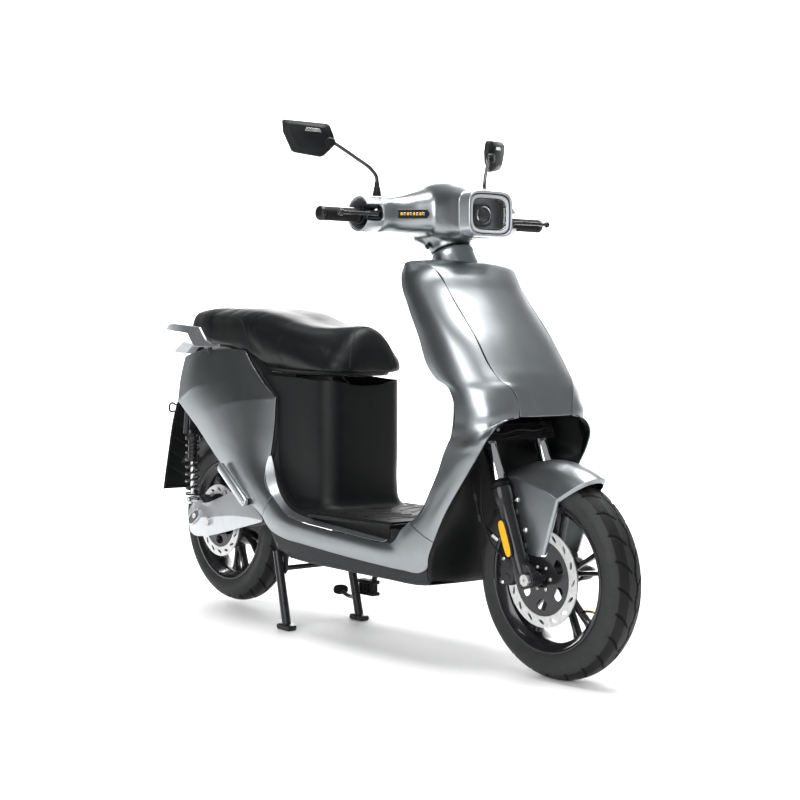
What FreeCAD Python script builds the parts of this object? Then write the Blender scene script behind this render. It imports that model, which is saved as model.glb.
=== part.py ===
"""Electric moped scooter on its centre stand, as an assembly of separate sub-parts.

Millimetres. +X is forwards, +Y is the rider's left, +Z is up. The shapes are written in the
front axle's frame (x = 0 at the front axle, z = 0 on the ground) and save() moves them into
the row frame, whose origin is on the ground under the middle of the overall length.
"""
import FreeCAD
import Part
import math
import os

V = FreeCAD.Vector

# ---- overall ----
OVERALL_LENGTH = 1800.0
WHEELBASE = 1300.0
TYRE_R = 233.0
TYRE_WIDTH = 92.0
BEAD_R = 165.0
REAR_LIFT = 18.0  # the centre stand holds the rear tyre this far above the ground
FRONT_AXLE_X = OVERALL_LENGTH / 2 - TYRE_R
REAR_END = TYRE_R - OVERALL_LENGTH
REAR_AXLE = (-WHEELBASE, TYRE_R + REAR_LIFT)

# ---- steering and fork ----
RAKE = math.radians(21)
LEG_BEHIND_AXLE = 30.0
STEM_BEHIND_LEGS = 28.0
FORK_HALF = 80.0
STANCHION_R = 16.5
LEG_R = 22.0
SEAL_R = 26.0
STEM_R = 13.0
AXLE_R = 7.5
FIT = 0.05  # radial clearance of a running fit

# ---- handlebar ----
BAR_X, BAR_Z = -430.0, 1057.0
BAR_R = 11.0
BAR_HALF = 345.0
GRIP_R = 16.0
GRIP_INNER = 240.0
LEVER_PIVOT = (-392.0, 214.0)
SWITCH_BACK_X = BAR_X - 21  # back of the pocket the thumb switches sit in

# ---- mirrors ----
MIRROR_BASE = (-441.0, 172.0, 1106.0)
MIRROR_JOINT = (-512.0, 252.0, 1236.0)
MIRROR_PEG_R = 5.0

# ---- rear suspension ----
ARM_PIVOT = (-985.0, 285.0)
ARM_Y = (76.0, 94.0)
SHOCK_Y = 122.0
SHOCK_TOP = (-1350.0, 505.0)
SHOCK_EYE = (-1355.0, 310.0)
SHOCK_PIN_R = 4.5  # the lower eye has a rubber bush's room round this pin

# ---- stands, pegs and seat ----
STAND_PIVOT = (-935.0, 198.0)
STAND_FOOT = (-887.0, 121.0)
SIDE_STAND_PIVOT = (-800.0, 145.0, 178.0)
SIDE_STAND_FOOT = (-925.0, 145.0, 100.0)
PEG_PIVOT = (-1000.0, 180.0, 333.0)
PEG_TIP = (-1120.0, 424.0)
SEAT_HINGE = (-700.0, 664.0)
FLOOR_TOP = 326.0
RAIL_Y = 144.0
WALL = 4.0


# ---- drawing helpers ----
def block(x, y, z):
    return Part.makeBox(x[1] - x[0], y[1] - y[0], z[1] - z[0], V(x[0], y[0], z[0]))


def rod(a, b, r):
    start = V(*a)
    along = V(*b) - start
    return Part.makeCylinder(r, along.Length, start, along)


def pipe(a, b, r_out, r_in):
    return rod(a, b, r_out).cut(rod(a, b, r_in))


def joined(shapes):
    body = shapes[0]
    for shape in shapes[1:]:
        body = body.fuse(shape)
    return body


def fused(shapes):
    """Joined shapes whose coplanar faces are merged."""
    return joined(shapes).removeSplitter()


def tube_frame(points, r):
    """Straight tubes through the points, with a weld bead at each bend."""
    tubes = [rod(a, b, r) for a, b in zip(points, points[1:])]
    beads = [Part.makeSphere(r + 0.8, V(*p)) for p in points[1:-1]]
    return fused(tubes + beads)


def side_plate(outline, y):
    """A flat outline in x and z, as thick as the y range."""
    face = Part.Face(Part.makePolygon([V(px, y[0], pz) for px, pz in outline + outline[:1]]))
    return face.extrude(V(0, y[1] - y[0], 0))


def strip(path, thickness, y):
    """A sheet that follows an x-z path, thick towards its left-hand side."""
    inner = []
    for i, (px, pz) in enumerate(path):
        ax, az = path[max(i - 1, 0)]
        bx, bz = path[min(i + 1, len(path) - 1)]
        length = math.hypot(bx - ax, bz - az)
        inner.append((px - (bz - az) / length * thickness, pz + (bx - ax) / length * thickness))
    return side_plate(path + inner[::-1], y)


def ruled(sections):
    wires = [Part.makePolygon([V(*p) for p in pts + pts[:1]]) for pts in sections]
    return Part.makeLoft(wires, True, True)


def cut_rectangle(a, b, cut):
    """Corners of a rectangle of half sizes a and b with its corners cut off."""
    return [(a, b - cut), (a - cut, b), (cut - a, b), (-a, b - cut),
            (-a, cut - b), (cut - a, -b), (a - cut, -b), (a, cut - b)]


def octagon(x, y_half, z, z_half, cut):
    """A box section with cut corners in a plane of constant x."""
    return [(x, y, z + dz) for y, dz in cut_rectangle(y_half, z_half, cut)]


def both(side, inner, outer):
    """A y range on the rider's left (+1) or right (-1), lowest value first."""
    return tuple(sorted((side * inner, side * outer)))


def left_and_right(make):
    """The same piece made for the rider's left (+1) and right (-1)."""
    return [make(1), make(-1)]


def wheel_turned(profile, centre):
    """A closed outline of (y, radius) points turned about a wheel's axle."""
    face = Part.Face(Part.makePolygon([V(0, y, r) for y, r in profile + profile[:1]]))
    solid = face.revolve(V(0, 0, 0), V(0, 1, 0), 360)
    solid.translate(V(centre[0], 0, centre[1]))
    return solid


def leg_point(s, y=0.0):
    """A point on a fork leg's line, s above the axle's height."""
    return (-LEG_BEHIND_AXLE - s * math.sin(RAKE), y, TYRE_R + s * math.cos(RAKE))


def stem_point(s, y=0.0):
    """A point on the steering axis."""
    x, _, z = leg_point(s)
    return (x - STEM_BEHIND_LEGS / math.cos(RAKE), y, z)


def save(name, *solids):
    shape = solids[0] if len(solids) == 1 else Part.makeCompound(list(solids))
    shape = shape.copy()
    shape.translate(V(FRONT_AXLE_X, 0, 0))
    pieces = shape.Solids
    shape = pieces[0] if len(pieces) == 1 else Part.makeCompound(pieces)
    volume = sum(piece.Volume for piece in pieces)
    print(f"{name:20s} {len(pieces)} solid(s) {volume / 1000:9.1f} cm3 valid {shape.isValid()}")
    shape.exportStep(f"parts/{name}.step")


# ---- wheels ----
def tyre(centre):
    half = TYRE_WIDTH / 2
    crown_r = (half ** 2 + 33 ** 2) / 66
    outer = []
    inner = []
    for step in range(-6, 7):
        angle = math.asin(half / crown_r) * step / 6
        drop = crown_r * (1 - math.cos(angle))
        outer.append((crown_r * math.sin(angle), TYRE_R - drop))
        inner.append(((crown_r - 9) * math.sin(angle), TYRE_R - 9 - drop))
    left_bead = [(-28, BEAD_R + 1), (-36, BEAD_R)]
    right_bead = [(36, BEAD_R), (28, BEAD_R + 1)]
    return wheel_turned(left_bead + outer + right_bead + inner[::-1], centre)


def rim(centre, hub_r, hub_y, spoke_count, spoke_y):
    flange = [(-41.5, 171), (-38, 171), (-38, 164.6), (-26, 164.6), (-18, 152), (18, 152),
              (26, 164.6), (38, 164.6), (38, 171), (41.5, 171), (41.5, 158), (30, 156),
              (20, 144), (-20, 144), (-30, 156), (-41.5, 158)]
    barrel = wheel_turned(flange, centre)
    hub = rod((centre[0], hub_y[0], centre[1]), (centre[0], hub_y[1], centre[1]), hub_r)
    spokes = []
    for i in range(spoke_count):
        for lean in (-9, 9):
            spoke = block((hub_r - 6, 147), (-spoke_y, spoke_y), (-6, 6))
            spoke.rotate(V(0, 0, 0), V(0, 1, 0), 360 * i / spoke_count + lean + 18)
            spoke.translate(V(centre[0], 0, centre[1]))
            spokes.append(spoke)
    bore = rod((centre[0], -60, centre[1]), (centre[0], 60, centre[1]), AXLE_R + FIT)
    return fused([barrel, hub] + spokes).cut(bore)


def disc(centre, y, r_out, r_hub):
    ring = pipe((centre[0], y, centre[1]), (centre[0], y + WALL, centre[1]), r_out, r_out - 26)
    inner = pipe((centre[0], y, centre[1]), (centre[0], y + WALL, centre[1]), r_hub + 14, r_hub)
    arms = []
    for i in range(6):
        arm = block((r_hub + 8, r_out - 20), (0, WALL), (-6, 6))
        arm.rotate(V(0, 0, 0), V(0, 1, 0), 60 * i)
        arm.translate(V(centre[0], y, centre[1]))
        arms.append(arm)
    return fused([ring, inner] + arms)


def caliper(centre, y, disc_r, angle, outer):
    """Two halves that straddle the disc, joined outside its rim."""
    body = block((disc_r - 36, disc_r + 11), (y - outer, y + 11), (-34, 34))
    slot = block((disc_r - 40, disc_r + 2), (y - 1.5, y + WALL + 1.5), (-40, 40))
    body = body.cut(slot)
    body.rotate(V(0, 0, 0), V(0, 1, 0), -angle)
    body.translate(V(centre[0], 0, centre[1]))
    return body


# ---- fork ----
def fork_leg(side):
    y = side * FORK_HALF
    shell = rod(leg_point(-24, y), leg_point(212, y), LEG_R)
    collar = rod(leg_point(188, y), leg_point(212, y), SEAL_R)
    lug = rod((0, y - 18, TYRE_R), (0, y + 18, TYRE_R), 17)
    web = block((-LEG_BEHIND_AXLE, 0), (y - 12, y + 12), (TYRE_R - 14, TYRE_R + 14))
    bore = rod(leg_point(-10, y), leg_point(220, y), STANCHION_R + FIT)
    hole = rod((0, y - 40, TYRE_R), (0, y + 40, TYRE_R), AXLE_R)
    return fused([shell, collar, lug, web]).cut(bore).cut(hole)


def fork_reflector(side):
    y = side * (FORK_HALF + 25)
    lens = rod(leg_point(60, y), leg_point(134, y), 9)
    leg = rod(leg_point(0, side * FORK_HALF), leg_point(200, side * FORK_HALF), LEG_R)
    return lens.cut(leg)


def front_axle():
    bar = rod((0, -108, TYRE_R), (0, 108, TYRE_R), AXLE_R)
    pieces = [bar]
    for a, b, r in ((-108, -98.5, 13), (98.5, 108, 13), (-61.8, -53.4, 12), (43, 61.8, 12)):
        pieces.append(rod((0, a, TYRE_R), (0, b, TYRE_R), r))
    return fused(pieces)


def fender_outline(r, drop):
    """Side view of the front mudguard: an arc over the tyre with a cheek hanging from it."""
    top = []
    for i in range(9):
        angle = math.radians(120 - 64 * i / 8)
        top.append((r * math.cos(angle), TYRE_R + r * math.sin(angle)))
    return top + [(60, 400), (34, 330 - drop), (3, 293 - drop), (-22, 320 - drop), (-62, 420)]


def front_fender():
    shell = side_plate(fender_outline(262, 0), (-57, 57))
    hollow = side_plate(fender_outline(258, 60), (-54, 54))
    under = rod((0, -80, TYRE_R), (0, 80, TYRE_R), 246)
    channel = rod((0, -54, TYRE_R), (0, 54, TYRE_R), 258)
    return shell.cut(hollow.common(channel)).cut(channel.common(under))


def fork_yoke():
    plate = side_plate([(-208, 536), (-118, 536), (-132, 572), (-222, 572)], (-106, 106))
    stem = rod(stem_point(330), stem_point(886), STEM_R)
    body = plate.fuse(stem)
    for side in (1, -1):
        y = side * FORK_HALF
        body = body.cut(rod(leg_point(280, y), leg_point(420, y), STANCHION_R))
    return body


def stanchion(side):
    y = side * FORK_HALF
    return rod(leg_point(56, y), leg_point(372, y), STANCHION_R)


def brake_hose():
    """Hose from under the yoke down the right fork leg to the caliper."""
    points = [V(-190, -112, 530), V(-165, -118, 470), V(-150, -116, 410), V(-140, -106, 350),
              V(-118, -84, 316)]
    edges = []
    start = points[0]
    for a, b, c in zip(points, points[1:], points[2:]):
        before = (a - b).normalize()
        after = (c - b).normalize()
        turn = math.pi - before.getAngle(after)
        run = 0.45 * min((a - b).Length, (c - b).Length)
        middle = (before + after).normalize()
        radius = run / math.tan(turn / 2)
        bulge = radius / math.cos(turn / 2) - radius
        first = b + before * run
        last = b + after * run
        edges.append(Part.LineSegment(start, first).toShape())
        edges.append(Part.Arc(first, b + middle * bulge, last).toShape())
        start = last
    edges.append(Part.LineSegment(start, points[-1]).toShape())
    section = Part.Wire(Part.Circle(points[0], points[1] - points[0], 3).toShape())
    return Part.Wire(edges).makePipeShell([section], True, False)


# ---- body panels ----
def shield_section(z, x_front, x_corner, y_corner, x_rear, y_rear, inset):
    """Plan of the front shield at one height; an inset plan runs on past the open back."""
    x_mid = (x_corner + x_rear) / 2
    y_mid = (y_corner + y_rear) / 2 + 4
    right = [(x_front - inset, 40), (x_front - 8 - inset, y_corner * 0.72 - inset),
             (x_corner - inset, y_corner - inset), (x_mid, y_mid - inset),
             (x_rear - 3 * inset, y_rear - inset)]
    return [(x, -y, z) for x, y in right] + [(x, y, z) for x, y in right[::-1]]


SHIELD_PLANS = [(590, -30, -75, 158, -186, 176), (620, -38, -85, 160, -184, 176),
                (690, -70, -112, 146, -250, 172), (764, -122, -158, 138, -286, 168),
                (850, -190, -222, 132, -318, 164), (930, -258, -276, 124, -360, 156)]


def front_shield():
    """Shell that is open at the bottom and the back, with a neck hole in its top."""
    outer = ruled([shield_section(*plan, 0) for plan in SHIELD_PLANS])
    heights = [plan[0] for plan in SHIELD_PLANS]
    heights[0] -= 5
    heights[-1] -= 5
    inner = ruled([shield_section(z, *plan[1:], WALL) for z, plan in zip(heights, SHIELD_PLANS)])
    neck = rod(stem_point(600), stem_point(900), 56)
    return outer.cut(inner).cut(neck)


def side_fairing(side):
    """Wing beside the front wheel that runs on as the floor's edge band."""
    outline = [(-184, 588), (-78, 588), (-64, 555), (-112, 456), (-205, 319), (-243, 223),
               (-290, 193), (-330, 226), (-875, 266), (-968, 334), (-905, 392), (-852, 372),
               (-776, 321), (-375, 291), (-265, 418), (-194, 550)]
    return side_plate(outline, both(side, 182, 186))


def inner_leg_shield():
    path = [(-382, 331), (-330, 430), (-296, 540), (-290, 640), (-318, 760), (-372, 916)]
    panel = strip(path, WALL, (-158, 158))
    return panel.cut(rod(stem_point(600), stem_point(900), 56))


def front_tunnel():
    path = [(-300, 196), (-272, 230), (-270, 330), (-256, 400), (-256, 488)]
    return strip(path, WALL, (-168, 168))


def floor_deck():
    return block((-716, -386), (-178, 178), (FLOOR_TOP - 8, FLOOR_TOP))


def floor_mat():
    mat = block((-694, -396), (-150, 150), (FLOOR_TOP, FLOOR_TOP + 4))
    grooves = []
    for i in range(6):
        x = -680 + i * 46
        for side in (1, -1):
            points = [(x, 20), (x + 10, 20), (x + 50, 120), (x + 40, 120)]
            pts = [V(px, side * py, FLOOR_TOP + 2.5) for px, py in points]
            grooves.append(Part.Face(Part.makePolygon(pts + pts[:1])).extrude(V(0, 0, 5)))
    for groove in grooves:
        mat = mat.cut(groove)
    return mat


def belly_skirt():
    """Dark lower tray: two slanted sides, a bottom and a front wall."""
    path = [(118, 186), (160, 190), (178, 262)]
    sides = []
    for side in (1, -1):
        outer = [V(-860, side * y, z) for y, z in path]
        inner = [V(-860, side * (y - WALL), z + WALL) for y, z in path[::-1]]
        pts = outer + inner
        sides.append(Part.Face(Part.makePolygon(pts + pts[:1])).extrude(V(540, 0, 0)))
    bottom = block((-860, -320), (-119, 119), (186, 190))
    x = SIDE_STAND_PIVOT[0]
    slot = block((x - 30, x + 30), (110, 176), (170, 270))
    return fused([bottom] + sides).cut(slot)


def box_section(x0, x1, y_half, cut, z):
    right = [(x1, -y_half + cut), (x1 - cut, -y_half), (x0, -y_half)]
    left = [(x, -y) for x, y in right[::-1]]
    return [(x, y, z) for x, y in right + left]


def seat_box():
    outer = ruled([box_section(-1008, -700, 126, 46, 330), box_section(-1008, -704, 128, 46, 672)])
    inner = ruled([box_section(-1004, -704, 122, 44, 336), box_section(-1004, -708, 124, 44, 690)])
    box = outer.cut(inner)
    dip = block((-744, -684), (-60, 60), (645, 690))
    sill = block((-774, -684), (-140, 140), (656, 690))
    ears = []
    for y in (-36, 30):
        outline = [(-707, 630), (-704, 630), (-690, 656), (-690, 670), (-708, 672)]
        ears.append(side_plate(outline, (y, y + 6)))
    pin = rod((SEAT_HINGE[0], -33, SEAT_HINGE[1]), (SEAT_HINGE[0], 33, SEAT_HINGE[1]), 4)
    return fused([box.cut(dip).cut(sill)] + ears + [pin])


def rear_panel(side):
    outline = [(-878, 668), (-1005, 732), (-1312, 728), (-1361, 691), (-1372, 588), (-1319, 548),
               (-1124, 435), (-979, 334), (-890, 404)]
    return side_plate(outline, both(side, 160, 164))


def seat_base():
    plate = block((-1352, -684), (-100, 100), (677, 687))
    knuckle = pipe((SEAT_HINGE[0], -28, SEAT_HINGE[1]), (SEAT_HINGE[0], 28, SEAT_HINGE[1]), 8, 4 + FIT)
    web = block((SEAT_HINGE[0] - 4, SEAT_HINGE[0] + 4), (-28, 28), (SEAT_HINGE[1] + 6, 678))
    return fused([plate, knuckle, web])


def seat_cushion():
    side = [(-664, 697), (-674, 687), (-1372, 687), (-1385, 790), (-1350, 846), (-1120, 842),
            (-960, 832), (-880, 800), (-790, 790), (-722, 796), (-694, 782), (-674, 740)]
    block_side = side_plate(side, (-140, 140))
    end = [(-128, 687), (128, 687), (140, 730), (138, 780), (112, 830), (60, 850),
           (-60, 850), (-112, 830), (-138, 780), (-140, 730)]
    pts = [V(-1400, y, z) for y, z in end]
    across = Part.Face(Part.makePolygon(pts + pts[:1])).extrude(V(860, 0, 0))
    plan = [(-1400, -150), (-732, -150), (-664, -72), (-664, 72), (-732, 150), (-1400, 150)]
    nose = ruled([[(x, y, z) for x, y in plan] for z in (680, 860)])
    return block_side.common(across).common(nose)


# ---- frame and chassis fittings ----
def main_frame():
    head = rod(stem_point(392), stem_point(640), 24)
    bore = rod(stem_point(380), stem_point(660), STEM_R + FIT)
    down = tube_frame([(-250, 0, 628), (-322, 0, 330), (-345, 0, 232)], 17)
    tubes = [head.cut(bore), down, rod((-345, -90, 225), (-345, 90, 225), 15)]
    for side in (1, -1):
        y = side * 90
        tubes.append(tube_frame([(-345, y, 225), (-880, y, 225)], 14))
        tubes.append(rod((-880, y, 225), (-880, side * RAIL_Y, 225), 13))
        rail = [(-880, side * RAIL_Y, 225), (-1030, side * RAIL_Y, 600), (-1330, side * RAIL_Y, 640)]
        tubes.append(tube_frame(rail, 10))
        x, z = SHOCK_TOP
        tubes.append(rod(rail[-1], (x, side * RAIL_Y, z - 6), 8))
        tubes.append(rod((x, side * (SHOCK_Y - 14), z), (x, side * RAIL_Y, z), 5))
        bracket = [(-868, 236), (-868, 212), (-945, 186), (-1004, 272), (-996, 300), (-966, 300)]
        tubes.append(side_plate(bracket, both(side, 97, 103)))
        tubes.append(rail_post(side))
        x, _, z = PEG_PIVOT
        tubes.append(rod((-935, side * RAIL_Y, 352), (x, side * RAIL_Y, z), 7))
        tubes.append(rod((x, side * (RAIL_Y - 4), z), (x, side * 171, z), 6))
        tubes.append(rod((x, side * 165, z), (x, side * 171.5, z), 9))
    tubes.append(rod((-880, -92, 225), (-880, 92, 225), 13))
    tubes.append(rod((-1310, -RAIL_Y, 637), (-1310, RAIL_Y, 637), 9))
    tubes.append(rod((-620, -90, 225), (-620, 90, 225), 11))
    tubes.append(rod((ARM_PIVOT[0], -103, ARM_PIVOT[1]), (ARM_PIVOT[0], 103, ARM_PIVOT[1]), 8))
    tubes.append(rod((STAND_PIVOT[0], -103, STAND_PIVOT[1]), (STAND_PIVOT[0], 103, STAND_PIVOT[1]), 6))
    x, y, z = SIDE_STAND_PIVOT
    tubes.append(rod((x, 90, 225), (x, y - 17, z + 12), 9))
    tubes.append(rod((x, y - 21, z), (x, y + 7, z), 5))
    tubes.append(block((x - 10, x + 10), (y - 23, y - 13), (z - 8, z + 22)))
    return joined(tubes)


def motor_controller():
    case = block((-560, -420), (-70, 70), (246, 300))
    fins = [block((-556 + 12 * i, -550 + 12 * i), (-62, 62), (299, 306)) for i in range(11)]
    return fused([case] + fins)


def battery_pack():
    case = block((-985, -760), (-88, 88), (340, 560))
    handle = block((-900, -840), (-14, 14), (559, 566))
    return case.fuse(handle)


def rail_section(before, point, after, corners):
    """Flat corners placed round a rail's point, in the plane that halves its bend."""
    way_in = (V(*point) - V(*before)).normalize() if before else None
    way_out = (V(*after) - V(*point)).normalize() if after else None
    way_in, way_out = way_in or way_out, way_out or way_in
    along = (way_in + way_out).normalize()
    across = along.cross(V(0, 0, 1)).normalize()
    up = across.cross(along)
    widen = 1 / along.dot(way_in)
    return [V(*point) + across * a * widen + up * b for a, b in corners]


def rail_post(side):
    """Frame post that carries one foot of the grab rail."""
    return rod((-1215, side * RAIL_Y, 622), (-1215, side * 150, 748), 6)


def grab_rail():
    """Faceted rail that rises from two feet and runs round the back of the seat."""
    points = [(-1180, 150, 749), (-1245, 152, 757), (-1292, 152, 795), (-1400, 147, 802), (-1486, 114, 800)]
    points += [(x, -y, z) for x, y, z in points[::-1]]
    corners = cut_rectangle(8, 9, 4)
    ends = [None] + points + [None]
    rail = ruled([rail_section(*three, corners) for three in zip(ends, ends[1:], ends[2:])])
    return rail.cut(rail_post(1)).cut(rail_post(-1))


def rear_lights():
    tail = block((-1492, -1440), (-62, 62), (716, 742))
    lamps = [block((-1486, -1446), both(side, 66, 96), (720, 740)) for side in (1, -1)]
    return [tail] + lamps


def rear_mudguard():
    path = [(-1330, 672), (-1400, 678), (-1500, 704), (-1532, 600), (-1540, 500), (REAR_END + 4, 324)]
    flap = strip(path, WALL, (-96, 96))
    edge = block((REAR_END, REAR_END + 7), (-96, 96), (318, 330))
    return flap.fuse(edge)


# ---- headset and controls ----
def headset_body(inset):
    """Lamp housing at the front and two arms that reach out along the handlebar."""
    i = inset
    nose = ruled([octagon(-252 - 0.01 * i, 66 - i, 1055, 53 - i, 20),
                  octagon(-330, 78 - i, 1064, 66 - i, 26),
                  octagon(-400, 92 - i, 1076, 66 - i, 30),
                  octagon(-468 + i, 80 - i, 1078, 52 - i, 26)])
    arms = []
    for side in (1, -1):
        plans = []
        for y, half_x, half_z in ((0, 56, 62), (110, 46, 50), (192 - i, 38, 40)):
            x, z = BAR_X + 4, BAR_Z + (12 if y < 100 else 4)
            corners = cut_rectangle(half_x - i, half_z - i, 16)
            plans.append([(x + dx, side * y, z + dz) for dx, dz in corners])
        arms.append(ruled(plans))
    return fused([nose] + arms)


def headset_cover():
    shell = headset_body(0).cut(headset_body(WALL))
    mouth = block((-262, -240), (-61, 61), (1007, 1103))
    bar = rod((BAR_X, -400, BAR_Z), (BAR_X, 400, BAR_Z), BAR_R + 3)
    neck_hole = rod(stem_point(740), stem_point(860), 40)
    shell = shell.cut(mouth).cut(bar).cut(neck_hole)
    neck = pipe(stem_point(762), stem_point(826), 47, 41)
    dash = block((-477, -441), (-58, 58), (1105, 1160))
    shell = shell.cut(neck).fuse(neck).cut(dash)
    x, y, z = MIRROR_BASE
    for side in (1, -1):
        shell = shell.cut(rod((x, side * y, z - 20), (x, side * y, z + 1), MIRROR_PEG_R + FIT))
    return shell


def dash_display():
    return block((-474, -444), (-54, 54), (1114, 1127))


def handlebar():
    bar = rod((BAR_X, -BAR_HALF + 6, BAR_Z), (BAR_X, BAR_HALF - 6, BAR_Z), BAR_R)
    top = stem_point(886)
    clamp = block((BAR_X - 16, top[0] + 18), (-20, 20), (BAR_Z - 16, BAR_Z + 16))
    post = block((top[0] - 17, top[0] + 17), (-17, 17), (BAR_Z - 30, BAR_Z + 14))
    ends = [rod((BAR_X, side * (BAR_HALF - 7), BAR_Z), (BAR_X, side * (BAR_HALF + 5), BAR_Z), 15)
            for side in (1, -1)]
    return fused([bar, clamp, post] + ends).cut(rod(stem_point(780), stem_point(886), STEM_R))


def lamp_ring(x0, x1, y_half, z_half, wall, corner):
    outer = ruled([octagon(x0, y_half, 1055, z_half, corner), octagon(x1, y_half, 1055, z_half, corner)])
    inner = ruled([octagon(x0 - 5, y_half - wall, 1055, z_half - wall, corner - 4),
                   octagon(x1 + 5, y_half - wall, 1055, z_half - wall, corner - 4)])
    return outer.cut(inner)


def headlight_unit():
    tub = lamp_ring(-296, -243, 53, 40, 3, 12)
    back = block((-299, -295), (-47, 47), (1020, 1090))
    eye = rod((-296, 0, 1050), (-246, 0, 1050), 19)
    return fused([tub, back, eye])


def front_lamp_lenses():
    main = ruled([octagon(-241, 56, 1055, 43, 14), octagon(-236, 56, 1055, 43, 14)])
    slots = []
    for side in (1, -1):
        lens = block((-4, 4), (-32, 32), (-7, 7))
        lens.rotate(V(0, 0, 0), V(0, 0, 1), side * 52)
        lens.translate(V(-352, side * 116, 1058))
        slots.append(lens)
    return [main] + slots


def bar_shroud(side):
    """Ring round the end of a headset arm, open at the front for the lever and behind for the thumb."""
    ring = pipe((BAR_X, side * 192, BAR_Z + 3), (BAR_X, side * 236, BAR_Z + 3), 42, 38.5)
    slot = block((BAR_X + 8, BAR_X + 60), both(side, 198, 250), (BAR_Z - 14, BAR_Z + 20))
    back = block((BAR_X - 60, BAR_X - 20), both(side, 198, 250), (BAR_Z - 16, BAR_Z + 24))
    return ring.cut(slot).cut(back)


def control_pod(side):
    """Switch housing round the bar with the brake master cylinder and its lever perch."""
    y = both(side, 200, 236)
    pivot_x, pivot_y = LEVER_PIVOT
    pod = rod((BAR_X, y[0], BAR_Z), (BAR_X, y[1], BAR_Z), 22)
    face = block((BAR_X - 28, BAR_X - 10), y, (BAR_Z - 14, BAR_Z + 18))
    cylinder = block((BAR_X + 10, pivot_x - 11), both(side, 200, 232), (BAR_Z - 10, BAR_Z + 12))
    fork = block((pivot_x - 12, pivot_x + 8), both(side, 203, 226), (BAR_Z - 10, BAR_Z + 10))
    gap = block((pivot_x - 10.5, pivot_x + 20), both(side, 198, 240), (BAR_Z - 5.2, BAR_Z + 5.2))
    pin = rod((pivot_x, side * pivot_y, BAR_Z - 9), (pivot_x, side * pivot_y, BAR_Z + 9), 3)
    solid = fused([pod, face, cylinder, fork]).cut(gap).fuse(pin)
    bore = rod((BAR_X, -300, BAR_Z), (BAR_X, 300, BAR_Z), BAR_R)
    pocket = block((BAR_X - 40, SWITCH_BACK_X), both(side, 208, 228), (BAR_Z - 7, BAR_Z + 11))
    return solid.cut(bore).cut(pocket)


def turn_switch():
    """Thumb slider in the left pod's pocket."""
    return block((BAR_X - 36, SWITCH_BACK_X - 1), (213, 223), (BAR_Z + 1, BAR_Z + 7))


def horn_button():
    """Button under the slider, with room behind it for its 2 mm press."""
    y, z = 214, BAR_Z - 2.5
    return rod((SWITCH_BACK_X - 3, y, z), (SWITCH_BACK_X - 13, y, z), 3)


def brake_lever(side):
    y = side * LEVER_PIVOT[1]
    hub = rod((LEVER_PIVOT[0], y, BAR_Z - 5), (LEVER_PIVOT[0], y, BAR_Z + 5), 8)
    outline = [(LEVER_PIVOT[0] - 3, LEVER_PIVOT[1] + 4), (LEVER_PIVOT[0] + 8, LEVER_PIVOT[1]),
               (LEVER_PIVOT[0] + 20, 246), (-371, 326), (-382, 326), (LEVER_PIVOT[0] + 8, 250)]
    pts = [V(x, side * py, BAR_Z - 4) for x, py in outline]
    blade = Part.Face(Part.makePolygon(pts + pts[:1])).extrude(V(0, 0, 8))
    tip = Part.makeSphere(8, V(-377, side * 328, BAR_Z))
    hole = rod((LEVER_PIVOT[0], y, BAR_Z - 20), (LEVER_PIVOT[0], y, BAR_Z + 20), 3 + FIT)
    return fused([hub, blade, tip]).cut(hole)


def grip(side, bore):
    y = (side * GRIP_INNER, side * (BAR_HALF - 9))
    body = rod((BAR_X, y[0], BAR_Z), (BAR_X, y[1], BAR_Z), GRIP_R)
    collar = rod((BAR_X, y[0], BAR_Z), (BAR_X, y[0] + side * 5, BAR_Z), 19)
    return body.fuse(collar).cut(rod((BAR_X, -400, BAR_Z), (BAR_X, 400, BAR_Z), bore))


# ---- mirror stems and heads ----
def mirror_stem(side):
    x, y, z = MIRROR_BASE
    base = rod((x, side * y, z + 0.4), (x, side * y, z + 30), 10)
    peg = rod((x, side * y, z - 12), (x, side * y, z + 1), MIRROR_PEG_R)
    jx, jy, jz = MIRROR_JOINT
    arm = tube_frame([(x, side * y, z + 28), (x, side * y, z + 52), (jx, side * jy, jz)], 5)
    ball = Part.makeSphere(9, V(jx, side * jy, jz))
    return fused([base, peg, arm, ball])


def mirror_head(side):
    """Six-sided shell swept back at its outer end, with a socket for the stem's ball."""
    width, height, depth = 124.0, 82.0, 24.0
    outline = [(0, -22), (22, -36), (width - 12, -26), (width, 4), (width - 16, height / 2 - 4),
               (14, height / 2), (0, 18)]
    front = [V(0, y, z) for y, z in outline]
    shell = Part.Face(Part.makePolygon(front + front[:1])).extrude(V(depth, 0, 0))
    shell.translate(V(-depth / 2, -8, 6))
    socket = Part.makeSphere(9 + FIT, V(0, 0, 0))
    shell = shell.cut(socket)
    shell.rotate(V(0, 0, 0), V(0, 0, 1), 30)
    if side < 0:
        shell = shell.mirror(V(0, 0, 0), V(0, 1, 0))
    jx, jy, jz = MIRROR_JOINT
    shell.translate(V(jx, side * jy, jz))
    # the stem's arm leaves through a slot in the back of the socket
    x, y, z = MIRROR_BASE
    slot = rod((x, side * y, z + 52), (jx, side * jy, jz), 16)
    return shell.cut(slot)


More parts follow.
